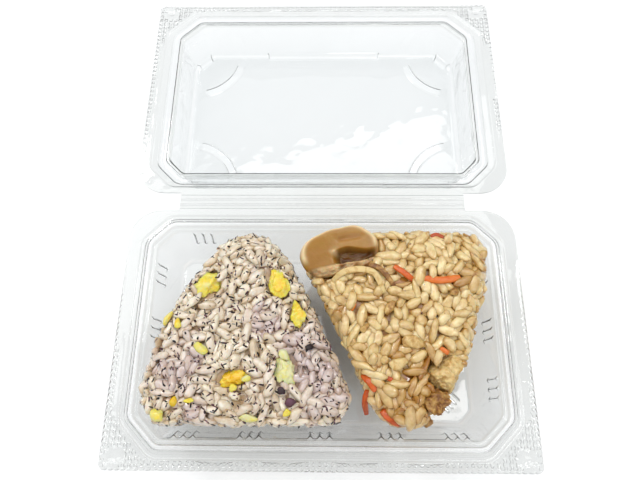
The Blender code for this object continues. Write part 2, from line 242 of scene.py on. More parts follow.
# ---- materials ----
def film_material():
    """Clear moulded film. Light from the lamps and light scattered by the food pass straight
    through it, and it bends and mirrors what is seen through it or in it. Its tint follows
    height: the flange is painted darker than the walls as painted shade, and the tops of the
    bands pressed up from the floor and of the tray's ridge are painted lighter as painted highlights."""
    made, tree, shader = new_material("clear_film", roughness=0.03, ior=1.5, transmission_weight=1.0)
    top = RIM_Z + 0.002
    # the flange's colour is painted shade, darker than the walls; the colours at the tops of the raised
    # floor bands and of the ridge are painted highlights
    flange, wall = (0.80, 0.81, 0.80), (0.87, 0.88, 0.88)
    tints = (
        (FLOOR_Z, (0.88, 0.89, 0.89)), (FLOOR_Z + ARC_HEIGHT, (0.97, 0.975, 0.975)),
        (0.0020, wall), (RIM_Z - 0.0014, wall), (RIM_Z - 0.0006, flange),
        (RIM_Z + 0.0006, flange), (RIM_Z + 0.0014, (0.95, 0.955, 0.955)),
    )
    place = add_node(tree, "TexCoord").outputs["Object"]
    height = add_node(tree, "SeparateXYZ", {"Vector": place}).outputs["Z"]
    share = remap(tree, height, (0.0, 1.0), (0.0, top))
    tint = ramp(tree, share, [(z / top, colour) for z, colour in tints])
    feed(tree, shader.inputs["Base Color"], tint)
    add_bump(tree, shader, object_noise(tree, 70), 0.0008, 0.4)
    path = add_node(tree, "LightPath").outputs
    rays = {0: path["Is Shadow Ray"], 1: path["Is Diffuse Ray"]}
    either = add_node(tree, "Math", rays, operation="MAXIMUM").outputs["Value"]
    clear = add_node(tree, "BsdfTransparent", {"Color": (0.955, 0.96, 0.96, 1)}).outputs["BSDF"]
    mixed = add_node(tree, "MixShader", {0: either, 1: shader.outputs["BSDF"], 2: clear})
    feed(tree, tree.nodes["Material Output"].inputs["Surface"], mixed.outputs["Shader"])
    return made


def rice_material(name, tones, patch, deep, chalk):
    """Cooked rice. The tint attribute holds tone, patch, how near a point lies to the grain's
    ends or underside and, in its alpha, the grain's top ridge. The ends and underside are
    darkened, the underside as painted shade in the cracks, and the ridge is lightened as a
    painted highlight. Cloudy noise adds random mottling."""
    made, tree, shader = new_material(
        name, (0.50, 0.70, 1.0), subsurface_weight=0.72, subsurface_scale=0.0015, ior=1.42,
        coat_weight=1.0, coat_roughness=0.07,
    )
    own, tinted, along, ridge = own_tint(tree)
    cloud = object_noise(tree, 360, 2.5, 0.55, 0.5)
    colour = ramp(tree, own, tuple(zip((0.0, 0.5, 1.0), tones)))
    colour = mix_colour(tree, tinted, colour, patch)
    # painted highlight on the grain's top ridge
    colour = mix_colour(tree, remap(tree, ridge, (0.0, 0.45)), colour, chalk)
    # random mottling from the noise, and painted shade from the grain's ends, underside and the core
    for value, made_range, taken in ((cloud, (0.0, 0.50), (0.42, 0.70)),
                                     (along, (0.0, 0.60), (0.72, 1.0))):
        colour = mix_colour(tree, remap(tree, value, made_range, taken), colour, deep, "MULTIPLY")
    feed(tree, shader.inputs["Base Color"], colour)
    feed(tree, shader.inputs["Roughness"], remap(tree, cloud, (0.12, 0.34)))
    add_bump(tree, shader, object_noise(tree, 800, 3.0, 0.6), 0.00022, 0.6)
    return made


def tinted_material(name, stops, own_share, **sockets):
    """A moist food surface: each piece's own tone, broken by cloudy variation."""
    made, tree, shader = new_material(name, (1.0, 0.55, 0.20), **sockets)
    cloud = object_noise(tree, 420, 4.0, 0.65, 0.5)
    spread = remap(tree, cloud, (-own_share, own_share), (0.28, 0.72))
    place = add_node(tree, "Math", {0: own_tint(tree)[0], 1: spread}, operation="ADD")
    feed(tree, shader.inputs["Base Color"], ramp(tree, place.outputs["Value"], stops))
    add_bump(tree, shader, object_noise(tree, 1100, 4.0, 0.65), 0.00018, 0.7)
    return made


def mushroom_material():
    """Tan cap with a pale rim, partly lightened as a painted highlight, an orange-brown streak, and near
    black-brown painted shade in the hollow and the lip's folds.
    """
    made, tree, shader = new_material(
        "mushroom_cap", roughness=0.34, subsurface_weight=0.45, subsurface_scale=0.003,
        coat_weight=0.15, coat_roughness=0.25,
    )
    hollow, lip, rim, streak = own_tint(tree)
    cap = ((0.30, (0.31, 0.135, 0.014)), (0.50, (0.37, 0.175, 0.021)), (0.70, (0.44, 0.235, 0.038)))
    folds = ((0.35, (0.30, 0.14, 0.04)), (0.60, (0.62, 0.42, 0.19)))
    colour = ramp(tree, object_noise(tree, 70, 3.0), cap)
    # hollow: painted shade; rim: the cap's pale edge, lightened further as a painted highlight
    for factor, over in (
        (lip, ramp(tree, object_noise(tree, 350, 4.0), folds)), (streak, (0.38, 0.16, 0.025)),
        (hollow, (0.110, 0.036, 0.003)), (rim, (0.80, 0.64, 0.36)),
    ):
        colour = mix_colour(tree, factor, colour, over)
    feed(tree, shader.inputs["Base Color"], colour)
    add_bump(tree, shader, object_noise(tree, 260, 5.0, 0.6), 0.0005, 0.6)
    return made


# ---- the pack's outlines ----
def grow(rect, distance):
    """The octagon moved outwards by distance, its cut corners with it."""
    leg = distance * (2 - math.sqrt(2))
    return Rect(*(a + b for a, b in zip(rect, (distance, -distance, distance, leg, leg))))


def fillet(before, corner, after, radius, steps):
    """Points of an arc that rounds a corner between two straight runs."""
    a, b = (before - corner).normalized(), (after - corner).normalized()
    half = a.angle(b) / 2
    centre = corner + (a + b).normalized() * (radius / math.sin(half))
    start, end = (corner + way * (radius / math.tan(half)) - centre for way in (a, b))
    turn = math.pi - 2 * half
    made = []
    for i in range(steps):
        t = i / (steps - 1)
        weights = math.sin((1 - t) * turn), math.sin(t * turn)
        made.append(centre + (start * weights[0] + end * weights[1]) / math.sin(turn))
    return made


INWARD = {  # the octagon's sides in their order, and the way from each towards the middle
    "far_right": Vector((-1, -1)).normalized(), "far": Vector((0, -1)),
    "far_left": Vector((1, -1)).normalized(), "left": Vector((1, 0)),
    "near_left": Vector((1, 1)).normalized(), "near": Vector((0, 1)),
    "near_right": Vector((-1, 1)).normalized(), "right": Vector((-1, 0)),
}
CORNER_STEPS = 7
CUT_STATIONS = (0.08, 0.2, 0.35, 0.5, 0.65, 0.8, 0.92)


def octagon(rect, radius, stations):
    """The octagon's points with round corners, as (point, side, place along it).

    Straight sides have points at the stations' own coordinates, drawn together where the side is
    too short for them, and cut corners at fixed shares, so that every outline of a half has the
    same points in the same order.
    """
    x, near, far, near_cut, far_cut = rect
    ring = [Vector(point) for point in (
        (x, far - far_cut), (x - far_cut, far), (far_cut - x, far), (-x, far - far_cut),
        (-x, near + near_cut), (near_cut - x, near), (x - near_cut, near), (x, near + near_cut),
    )]
    made = []
    for i, side in enumerate(INWARD):
        start, end = ring[i], ring[(i + 1) % 8]
        arc = fillet(ring[i - 1], start, end, radius, CORNER_STEPS)
        made += [(p, None, 0.0) for p in arc]
        if side not in stations:
            last = end + (start - end).normalized() * (arc[-1] - start).length
            made += [(arc[-1].lerp(last, s), side, s) for s in CUT_STATIONS]
            continue
        places = sorted(stations[side], reverse=side in ("far", "left"))
        if side in ("far", "near"):
            room = min(1.0, 0.996 * abs(arc[-1].x) / max(map(abs, places)))
            made += [(Vector((s * room, start.y)), side, s) for s in places]
        else:
            made += [(Vector((start.x, s)), side, s) for s in places]
    return made


def soften(levels, steps=4):
    """Rounds each fold between levels, given as (rect, growth, corner radius, z, fold radius),
    into rows of rect, corner radius and z."""
    rows = [np.array([*grow(rect, growth), radius, z]) for rect, growth, radius, z, _ in levels]
    made = [rows[0]]
    for before, row, after, level in zip(rows, rows[1:], rows[2:], levels[1:]):
        ends = []
        for other in (before, after):
            run = math.hypot(other[0] - row[0], other[6] - row[6])
            ends.append(row + (other - row) * min(0.45, level[4] / run))
        for i in range(steps):
            t = i / (steps - 1)
            made.append((1 - t) ** 2 * ends[0] + 2 * t * (1 - t) * row + t * t * ends[1])
    return made + [rows[-1]]


def with_rows(rows, heights):
    """The levels with more of them let in at the given heights, down the wall."""
    made = [rows[0]]
    for upper, lower in zip(rows, rows[1:]):
        for z in sorted(heights, reverse=True):
            if lower[6] + 1e-5 < z < upper[6] - 1e-5 and upper[6] - lower[6] > 0.0005:
                made.append(upper + (lower - upper) * (upper[6] - z) / (upper[6] - lower[6]))
        made.append(lower)
    return made


def flange_outline():
    """The flange's outer edge, with the stub of the hinge strip, from the far right corner."""
    x, tab = FLANGE_HALF_X, HINGE_HALF_X
    stub = [(-x, FLANGE_NEAR, NEAR_RADIUS, 14), (-tab, FLANGE_NEAR, 0.0005, 3),
            (-tab, HINGE_STRIP, 0.0002, 2)]
    corners = [(x, FLANGE_FAR, FAR_RADIUS, 6), (-x, FLANGE_FAR, FAR_RADIUS, 6), *stub]
    corners += [(-x, *rest) for x, *rest in reversed(stub)]
    places = [Vector(corner[:2]) for corner in corners]
    points = []
    for i, (_, _, radius, steps) in enumerate(corners):
        points += fillet(places[i - 1], places[i], places[(i + 1) % len(places)], radius, steps)
    return points


def beaded(points):
    """The outer edge with small waves pressed into its long free sides, as (point, height)."""
    rows = []
    for here, after in zip(points, points[1:] + points[:1]):
        rows.append((here, RIM_Z))
        span = (after - here).length
        if span < 0.02 or min(here.y, after.y) < FLANGE_NEAR + 0.001:
            continue
        count = 2 * round(span / KNURL_PITCH)
        for k in range(1, count):
            point = here.lerp(after, k / count)
            wave = EDGE_WAVE * ease((point.y - 0.02) / 0.02)
            rows.append((point, RIM_Z - wave * (k % 2)))
    return rows


def inside(point, outline):
    """True if the point lies within the closed outline."""
    found = False
    for a, b in zip(outline, outline[1:] + outline[:1]):
        if (a.y > point.y) != (b.y > point.y):
            if point.x < a.x + (b.x - a.x) * (point.y - a.y) / (b.y - a.y):
                found = not found
    return found


def past_far_cut(x, u, rect):
    """How far the place lies beyond the lines of the octagon's far cut corners."""
    return (abs(x) + u - (rect.half_x + rect.far - rect.far_cut)) / math.sqrt(2)


def past_edge(x, u, rect):
    """How far the place lies outside the octagon; negative inside it."""
    near_corner = (abs(x) - u - (rect.half_x - rect.near - rect.near_cut)) / math.sqrt(2)
    sides = abs(x) - rect.half_x, u - rect.far, rect.near - u
    return max(*sides, past_far_cut(x, u, rect), near_corner)


# ---- mesh building for a pack half ----
def upright(bm, face):
    """Turns the skin over if the given face of it looks down."""
    if face.normal.z < 0:
        bmesh.ops.reverse_faces(bm, faces=bm.faces)


def thickened(bm, name, finish, thickness):
    """The skin as an object of the given thickness, added away from the food."""
    mesh = bpy.data.meshes.new(name)
    bm.to_mesh(mesh)
    bm.free()
    obj = link(name, mesh, finish)
    thicken = obj.modifiers.new("Film thickness", "SOLIDIFY")
    thicken.thickness = thickness
    thicken.offset = -1
    shaped = obj.evaluated_get(bpy.context.evaluated_depsgraph_get())
    solid = bpy.data.meshes.new_from_object(shaped)
    obj.modifiers.clear()
    obj.data = solid
    for vert in solid.vertices:
        vert.co = [min(max(at, low), high) for at, low, high in zip(vert.co, *CAD_BOX)]
    smooth(solid)
    return obj


class Half:
    """One moulded half of the pack, built as a single skin of points and faces."""

    def __init__(self, run):
        self.bm = bmesh.new()
        self.run = run  # TRAY or LID

    def vert(self, x, u, z):
        return self.bm.verts.new((x, HINGE.y + self.run * u, z))

    def loft(self, rows, stations, push):
        """Rings from the outermost row to the innermost, as lists of (outline point, vertex)."""
        rings = []
        for row in rows:
            ring = []
            for point, side, along in octagon(Rect(*row[:5]), row[5], stations):
                if side:
                    point = point + INWARD[side] * push(side, along, row[6])
                ring.append((point, self.vert(point.x, point.y, row[6])))
            rings.append(ring)
        for outer, inner in zip(rings, rings[1:]):
            for i in range(len(outer)):
                self.bm.faces.new((outer[i - 1][1], outer[i][1], inner[i][1], inner[i - 1][1]))
        return rings

    def fill(self, loops, lines, z, keep):
        """Triangles between closed loops, through creases and points: lines of (x, u, rise)."""
        flat, verts, edges, rises = [], [], [], []
        for loop in loops:
            first, count = len(flat), len(loop)
            edges += [(first + i, first + (i + 1) % count) for i in range(count)]
            flat += [Vector(point) for point, _ in loop]
            verts += [vert for _, vert in loop]
            rises += [0.0] * count
        for line in lines:
            edges += [(len(flat) + i, len(flat) + i + 1) for i in range(len(line) - 1)]
            flat += [Vector((x, u)) for x, u, _ in line]
            verts += [None] * len(line)
            rises += [rise for _, _, rise in line]
        made, _, faces, origins, _, _ = geometry.delaunay_2d_cdt(flat, edges, [], 0, 1e-7)
        used = []
        for point, origin in zip(made, origins):
            known = [verts[k] for k in origin if verts[k] is not None]
            rise = rises[origin[0]] if origin else 0.0
            used.append(known[0] if known else self.vert(point.x, point.y, z + rise))
        for corners in faces:
            middle = sum((made[k] for k in corners), Vector((0, 0))) / len(corners)
            chosen = [used[k] for k in corners]
            if keep(middle) and len(set(chosen)) == 3 and self.bm.faces.get(chosen) is None:
                self.bm.faces.new(chosen)

    def build(self, name, finish, rows, stations, push, relief, creases):
        """The wall, the flange with its relief and the floor with its creases, as an object."""
        rings = self.loft(rows, stations, push)
        outline = [(p, self.vert(p.x, p.y, z)) for p, z in beaded(flange_outline())]
        edge, hole, floor = ([p for p, _ in ring] for ring in (outline, rings[0], rings[-1]))
        points = [[point] for point in relief]
        self.fill([outline, rings[0]], points, RIM_Z, lambda m: inside(m, edge) and not inside(m, hole))
        self.fill([rings[-1]], creases, FLOOR_Z, lambda m: inside(m, floor))
        loose = [v for v in self.bm.verts if not v.link_faces]
        bmesh.ops.delete(self.bm, geom=loose, context="VERTS")
        bmesh.ops.recalc_face_normals(self.bm, faces=self.bm.faces)
        upright(self.bm, max(self.bm.faces, key=lambda face: face.calc_area()))
        return thickened(self.bm, name, finish, FILM)


# ---- knurled flange ----
def knurl_points(rect, strips):
    """Pits in a diamond pattern that fill the far corners and follow the far edge and the sides.

    strips gives, for the left and the right side, the range of u that its rows cover. Level
    points behind the rows and over the rest of the flange keep the relief to its own place.
    """
    smooth_band = grow(rect, RIDGE_OUT_FOOT + KNURL_BAND)
    step = KNURL_PITCH / 4
    span_x, span_u = int(FLANGE_HALF_X / step), int(FLANGE_FAR / step)
    points = []
    for i in range(-span_x, span_x + 1):
        for j in range(i % 2, span_u, 2):
            x, u = i * step, FLANGE_FAR - step * (j + 1)
            in_oval = any((Vector((x, u)) - oval).length < 1.1 * OVAL_LENGTH for oval in OVALS)
            if abs(x) > FLANGE_HALF_X - step * 0.9 or in_oval:
                continue
            low, high = strips[x > 0]
            at_side = FLANGE_HALF_X - abs(x) < EDGE_ROWS * step and u < high
            pit = (i + j) % 4 == 0 and (i - j) % 4 == 0
            fade = ease((u - low) / 0.02) if at_side else 1.0
            if past_far_cut(x, u, smooth_band) > 0 or j < EDGE_ROWS or at_side:
                points.append((x, u, -KNURL_DEPTH * fade if pit else 0.0))
            elif i % 4 == j % 4 == 0 and past_edge(x, u, rect) > 0.0075 and u > FLANGE_NEAR + 0.003:
                points.append((x, u, 0.0))
    return points


def oval_points():
    """Smooth dimples in the two far corners of the flange."""
    points = []
    for centre in OVALS:
        points.append((centre.x, centre.y, -OVAL_DEPTH))
        for share, rise in ((0.45, -OVAL_DEPTH), (0.75, -0.6 * OVAL_DEPTH), (1.0, 0.0)):
            for turn in around(14):
                x = centre.x + 0.8 * share * OVAL_LENGTH * math.cos(turn)
                points.append((x, centre.y + share * OVAL_WIDTH * math.sin(turn), rise))
    return points


# ---- tray and lid ----
def rib_stations(groups):
    """Places along a wall that give each rib of each group its round shape."""
    shares = (-1, -0.75, -0.4, 0, 0.4, 0.75, 1)
    ribs = [middle + step * RIB_PITCH for middle in groups for step in (-1, 0, 1)]
    return [rib + share * RIB_WIDTH / 2 for rib in ribs for share in shares]


def rib_push(side, along, z):
    """How far the tray's wall stands in towards the food at this place."""
    groups = RIB_GROUPS.get(side, ())
    ribs = [abs(along - (g + s * RIB_PITCH)) for g in groups for s in (-1, 0, 1)]
    nearest = min(ribs, default=RIB_WIDTH)
    if nearest >= RIB_WIDTH / 2:
        return 0.0
    across = math.cos(math.pi * nearest / RIB_WIDTH) ** 2
    drop = RIM_Z - z
    rise = ease((drop - RIB_TOP + 0.0008) / 0.0008) * (1 - ease((drop - RIB_FOOT) / 0.0016))
    return RIB_DEPTH * across * rise


def make_tray(finish):
    mouth, foot = TRAY_MOUTH, grow(TRAY_MOUTH, FOOT_ROUND - TRAY_DRAFT)
    ridge_top, line = RIM_Z + RIDGE_HEIGHT, RIM_Z - LINE_DEPTH
    rows = soften([
        (mouth, LINE_OUT + 0.0004, 0.0070, RIM_Z, 0),
        (mouth, LINE_OUT, 0.0070, RIM_Z, 0.0003),
        (mouth, LINE_OUT - 0.0005, 0.0068, line, 0.0003),
        (mouth, LINE_IN + 0.0005, 0.0062, line, 0.0003),
        (mouth, LINE_IN, 0.0060, RIM_Z, 0.0003),
        (mouth, RIDGE_OUT_FOOT, 0.0058, RIM_Z, 0.0004),
        (mouth, RIDGE_OUT_TOP, 0.0054, ridge_top, 0.0007),
        (mouth, RIDGE_IN_TOP, 0.0045, ridge_top, 0.0007),
        (mouth, RIDGE_IN_FOOT, 0.0042, RIM_Z, 0.0005),
        (mouth, 0, 0.0038, RIM_Z, 0.0006),
        (mouth, -0.0006, 0.0036, RIM_Z - 0.0009, 0.0006),
        (foot, 0, 0.0030, FLOOR_Z + FOOT_ROUND, 0.0010),
        (foot, -FOOT_ROUND, 0.0026, FLOOR_Z, 0.0010),
        (foot, -FOOT_ROUND - 0.0012, 0.0024, FLOOR_Z, 0),
    ])
    drops = [start + 0.0004 * k for start in (RIB_TOP - 0.0008, RIB_FOOT) for k in range(5)]
    drops += [0.0040, 0.0055, 0.0100, 0.0125, 0.0150, 0.0172]
    rows = with_rows(rows, [RIM_Z - drop for drop in drops])
    stations = {side: rib_stations(groups) for side, groups in RIB_GROUPS.items()}
    relief = knurl_points(mouth, ((0.046, 0.082), (0.060, 0.082))) + oval_points()
    half = Half(TRAY)
    return half.build("tray_film", finish, rows, stations, rib_push, relief, floor_ribs(foot))


def floor_ribs(foot):
    """Creases of the short bars that point at each corner of the tray's floor."""
    creases = []
    for sign in (-1, 1):
        for level, end, cut in ((foot.near, -1, foot.near_cut), (foot.far, 1, foot.far_cut)):
            corner = Vector((sign * (foot.half_x - cut / 2), level - end * cut / 2))
            out = Vector((sign, end)).normalized()
            beside = Vector((-out.y, out.x))
            long, wide = out * FLOOR_RIB_LENGTH / 2, beside * FLOOR_RIB_PITCH * 0.3
            for k in range(4):
                middle = corner - out * FLOOR_RIB_INSET + beside * ((k - 1.5) * FLOOR_RIB_PITCH)
                foot_line = [middle + long * a + wide * b for a, b in (
                    (-1, 0), (-0.9, 1), (0.9, 1), (1, 0), (0.9, -1), (-0.9, -1), (-1, 0))]
                creases.append([(*p, 0.0) for p in foot_line])
                top = (middle - long * 0.8, middle + long * 0.8)
                creases.append([(*p, FLOOR_RIB_HEIGHT) for p in top])
    return creases


def ledge_push(side, along, z):
    """How far the lid's wall stands in at its foot, in a step along its middle and its cuts."""
    ledge = LEDGE_CORNER if "_" in side else 0.0
    if side in ("far", "near"):
        ledge = LEDGE_DEPTH * (1 - ease((abs(along) - LEDGE_HALF_X) / 0.0006))
    return ledge * (1 - ease((z - FLOOR_Z - 0.0022) / 0.0007))


def make_lid(finish):
    mouth, foot = LID_MOUTH, grow(LID_MOUTH, FOOT_ROUND - LID_DRAFT)
    panel = grow(foot, -FOOT_ROUND)
    ridge, band_z, groove = TRAY_MOUTH, RIM_Z - BAND_DROP, RIM_Z - GROOVE_DEPTH
    rows = soften([
        (LID_BAND, 0.0008, 0.0066, RIM_Z, 0),
        (LID_BAND, 0, 0.0062, RIM_Z, 0.0004),
        (LID_BAND, -BAND_DROP, 0.0060, band_z, 0.0004),
        (ridge, RIDGE_OUT_FOOT + MATING_GAP, 0.0058, band_z, 0.0003),
        (ridge, RIDGE_OUT_TOP + MATING_GAP, 0.0054, groove, 0.0006),
        (ridge, RIDGE_IN_TOP - MATING_GAP, 0.0045, groove, 0.0004),
        (ridge, RIDGE_IN_FOOT - MATING_GAP, 0.0042, RIM_Z, 0.0004),
        (mouth, 0, 0.0038, RIM_Z, 0.0003),
        (mouth, -0.0004, 0.0036, RIM_Z - 0.0009, 0.0005),
        (foot, 0, 0.0030, FLOOR_Z + FOOT_ROUND, 0.0009),
        (panel, 0, 0.0028, FLOOR_Z, 0.0009),
        (panel, -0.0014, 0.0024, FLOOR_Z, 0),
    ])
    rows = with_rows(rows, [FLOOR_Z + 0.0018 + 0.0003 * k for k in range(6)] + [0.006, 0.010, 0.014])
    wide = [0.058 * k / 12 for k in range(-11, 12)]
    wide += [s * (LEDGE_HALF_X + d) for s in (-1, 1) for d in (0, 0.0006)]
    long = [0.020 + 0.063 * k / 12 for k in range(1, 12)]
    stations = {"far": wide, "near": wide, "left": long, "right": long}
    relief = knurl_points(mouth, ((0.016, 0.088), (0.020, 0.050))) + oval_points()
    half = Half(LID)
    return half.build("lid_film", finish, rows, stations, ledge_push, relief, panel_arcs(panel))


def panel_arcs(panel):
    """Creases of the quarter-round bands at the panel's corners."""
    creases = []
    for sign in (-1, 1):
        for level, turn in ((panel.near, 1), (panel.far, -1)):
            for share, rise in ((-0.5, 0), (-0.36, 1), (0.36, 1), (0.5, 0)):
                radius = ARC_RADIUS + share * ARC_WIDTH
                line = []
                for k in range(17):
                    angle = math.radians(ARC_FROM + (ARC_TO - ARC_FROM) * k / 16)
                    height = 0.0 if k in (0, 16) else rise * ARC_HEIGHT
                    x = sign * (panel.half_x - radius * math.cos(angle))
                    line.append((x, level + turn * radius * math.sin(angle), height))
                creases.append(line)
    return creases


def make_hinge(finish):
    """The strip of film along the fold line, with two creases pressed along it."""
    bm = bmesh.new()
    long_steps, steps = 40, 24
    rows = []
    for i in range(long_steps + 1):
        x = HINGE_HALF_X * (2 * i / long_steps - 1)
        row = []
        for k in range(steps + 1):
            y = HINGE_STRIP * (2 * k / steps - 1)
            crease = 0.00018 * math.exp(-((abs(y) - 0.0012) / 0.00035) ** 2)
            row.append(bm.verts.new((x, HINGE.y + y, RIM_Z - crease)))
        rows.append(row)
    for a, b in zip(rows, rows[1:]):
        for k in range(steps):
            bm.faces.new((a[k], b[k], b[k + 1], a[k + 1]))
    bmesh.ops.recalc_face_normals(bm, faces=bm.faces)
    bm.faces.ensure_lookup_table()
    upright(bm, bm.faces[0])
    return thickened(bm, "hinge_film", finish, FILM * 0.8)


# ---- rice grains ----
def tube(rings, sides):
    """Faces of a closed tube: the points of its rings come first, then the tips of its ends."""
    faces = [face for i in range(rings - 1) for face in band(i * sides, (i + 1) * sides, sides)]
    last, tip = (rings - 1) * sides, rings * sides
    for k in range(sides):
        after = (k + 1) % sides
        faces += [(tip, after, k), (tip + 1, last + k, last + after)]
    return faces


def grain_shape(sides, rings, rng):
    """A unit grain along X: round ended, a little bent, one end fuller, its skin faintly ridged."""
    bend, fuller = rng.uniform(-0.10, 0.10), rng.uniform(-0.16, 0.16)
    ridge, phase = rng.uniform(0.05, 0.13), rng.uniform(0, 6.28)
    dent = rng.uniform(-0.5, 0.5)
    verts = []
    for i in range(1, rings):
        t = -math.cos(math.pi * i / rings)
        radius = (1 - abs(t) ** 2.2) ** 0.60 * (1 + fuller * t)
        lift = bend * 2.0 * (t * t - 0.4)
        hollow = 0.05 * math.cos((t - dent) / 0.3 * 1.57) if abs(t - dent) < 0.3 else 0.0
        for turn in around(sides):
            ripple = ridge * math.cos(4 * turn + phase) + 0.05 * math.sin(5 * t + turn + phase)
            own = radius * (1 + ripple) * (1 - hollow * (1 + math.cos(turn - phase)))
            verts.append((t, own * math.cos(turn), own * math.sin(turn) + lift))
    verts += [(end, 0.0, bend * 2.0 * 0.6) for end in (-1.0, 1.0)]
    return np.array(verts), tube(rings - 1, sides)


def node_tree(node):
    mesh = frame["nodes"][node].data
    faces = [tuple(face.vertices) for face in mesh.polygons]
    return BVHTree.FromPolygons([vert.co for vert in mesh.vertices], faces)


def surface_samples(node, toppings, rng, spacing, tries):
    """Scattered points and normals on a rice ball's outline, away from its toppings' pockets."""
    mesh = frame["nodes"][node].data
    mesh.calc_loop_triangles()
    pockets = [node_tree(name) for name in toppings]
    rows = []
    for tri in mesh.loop_triangles:
        points = [mesh.vertices[k].co for k in tri.vertices]
        middle = (points[0] + points[1] + points[2]) / 3
        if all(tree.find_nearest(middle)[3] >= 0.0007 for tree in pockets):
            rows.append((points, tri.area, tri.normal))
    corners, areas, normals = (np.array([row[k] for row in rows]) for k in range(3))
    chosen = rng.choice(len(areas), tries, p=areas / areas.sum())
    a, b = rng.random(tries), rng.random(tries)
    fold = a + b > 1
    a[fold], b[fold] = 1 - a[fold], 1 - b[fold]
    base, one, two = (corners[chosen][:, k] for k in range(3))
    points = base + a[:, None] * (one - base) + b[:, None] * (two - base)
    kept = []
    for k in range(tries):
        if not kept or np.min(np.sum((points[kept] - points[k]) ** 2, 1)) > spacing**2:
            kept.append(k)
    return points[kept], normals[chosen][kept]


def nearest_on(tree, points):
    """For each point the nearest place on the tree's surface and the face normal there."""
    found = [tree.find_nearest(point)[:2] for point in points]
    return np.array([place for place, _ in found]), np.array([normal for _, normal in found])


def settle(centres, axes, halves, radii, depths, lifts, tree, stones, squeeze, rounds):
    """Pushes grains apart, off the toppings and under the outline, in small steps."""
    shares, sizes = np.array(BEADS).T
    arm = halves - 0.85 * radii
    bead_radii = radii[:, None] * sizes * squeeze
    flat_radii = bead_radii.reshape(-1)
    count, middle = len(centres), len(BEADS) // 2
    for step in range(rounds):
        if step % 6 == 0:
            gaps = np.linalg.norm(centres[:, None] - centres[None], axis=2)
            first, second = np.nonzero(np.triu(gaps < 0.0090, 1))
        offsets = axes[:, None] * (arm[:, None] * shares)[:, :, None]
        beads = centres[:, None] + offsets
        apart = beads[second][:, None] - beads[first][:, :, None]
        length = np.maximum(np.linalg.norm(apart, axis=3), 1e-6)
        overlap = bead_radii[first][:, :, None] + bead_radii[second][:, None] - length
        push = np.maximum(overlap, 0)[..., None] * apart / length[..., None] * 0.22
        force = np.zeros((count, len(BEADS), 3))
        np.add.at(force, first, -push.sum(axis=2))
        np.add.at(force, second, push.sum(axis=1))
        flat = beads.reshape(-1, 3)
        for stone_place, stone_radius in stones:
            away = flat - stone_place
            far = np.maximum(np.linalg.norm(away, axis=1), 1e-6)
            inside_by = np.maximum(flat_radii + stone_radius - far, 0)
            force += (away / far[:, None] * inside_by[:, None] * 0.5).reshape(force.shape)
        places, normals = nearest_on(tree, flat)
        depth = np.sum((places - flat) * normals, axis=1)
        lift = np.repeat(lifts, len(BEADS)) * (normals[:, 2] > 0.3)
        proud = np.maximum(flat_radii * 1.02 - lift - depth, 0)
        force -= (normals * proud[:, None] * 0.8).reshape(force.shape)
        out = normals.reshape(count, -1, 3)[:, middle]
        sink = depth.reshape(count, -1)[:, middle] - depths
        pull = np.where(sink > 0, 0.10, 0.02) * sink
        centres = centres + force.sum(axis=1) * 0.5 + out * pull[:, None]
        torque = np.cross(offsets, force).sum(axis=1) / (arm**2)[:, None] * 0.4
        lean = np.sum(axes * out, axis=1, keepdims=True) * out
        axes = unit(axes + np.cross(torque, axes) - 0.05 * lean)
    return centres, axes


def turned_about(axes, normals, angles):
    """Right-handed frames whose X runs along the grain and whose Z leans out by angle."""
    side = unit(np.cross(normals, axes))
    up = np.cross(axes, side)
    cos, sin = np.cos(angles)[:, None], np.sin(angles)[:, None]
    return np.stack([axes, side * cos + up * sin, up * cos - side * sin], axis=2)


class Heap:
    """Many closed shapes gathered into one piece of food, with a colour kept at each point."""

    def __init__(self):
        self.verts, self.faces, self.paint, self.total = [], [], [], 0

    def add(self, verts, faces, paint):
        self.verts.append(verts)
        self.faces += [[i + self.total for i in face] for face in faces]
        self.paint.append(np.broadcast_to(np.asarray(paint, float), (len(verts), 4)))
        self.total += len(verts)

    def tree(self):
        return BVHTree.FromPolygons(np.concatenate(self.verts).tolist(), self.faces)

    def serve(self, name, finish, slot, *nodes, degrees=180):
        """The piece, which rides with the tray and stands for its CAD nodes."""
        places = np.concatenate(self.verts)
        places[:, 2] = np.maximum(places[:, 2], FLOOR_Z)  # flat where it rests on the film
        mesh = bpy.data.meshes.new(name)
        mesh.from_pydata(places, [], self.faces)
        layer = mesh.attributes.new("tint", "FLOAT_COLOR", "POINT")
        layer.data.foreach_set("color", np.concatenate(self.paint).astype(np.float32).ravel())
        smooth(mesh, degrees)
        mesh.update()
        piece = link(name, mesh, finish)
        if nodes:
            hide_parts(*nodes)
        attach(piece, "tray")


def patch_at(place, ball):
    """How strongly the ball's second colour shows at a place."""
    fars = [math.hypot(place[0] - x, place[1] - y) / radius for x, y, radius in ball.spots]
    spots = 1 - ease((min(fars) - 0.5) / 0.9)
    cloud = noise.fractal(Vector(place) * 90, 0.8, 2.0, 3)
    return min(max(spots * (0.65 + cloud) + 0.25 * ease(cloud * 2 + 0.1), 0), 1)


def relief_at(place):
    """How far a clump of rice lies under the ball's outline, or over it if negative."""
    return CLUMP_RELIEF * noise.noise(Vector(place) * 95)


def pressed(points):
    """Grains are squeezed out of their even shape by their neighbours."""
    moved = np.empty_like(points)
    for k, point in enumerate(points):
        place = Vector(point)
        wide = noise.noise_vector(place * 260)
        fine = noise.noise_vector(place * 800 + Vector((7, 0, 0)))
        moved[k] = place + wide * 0.00058 + fine * 0.00032
    return moved


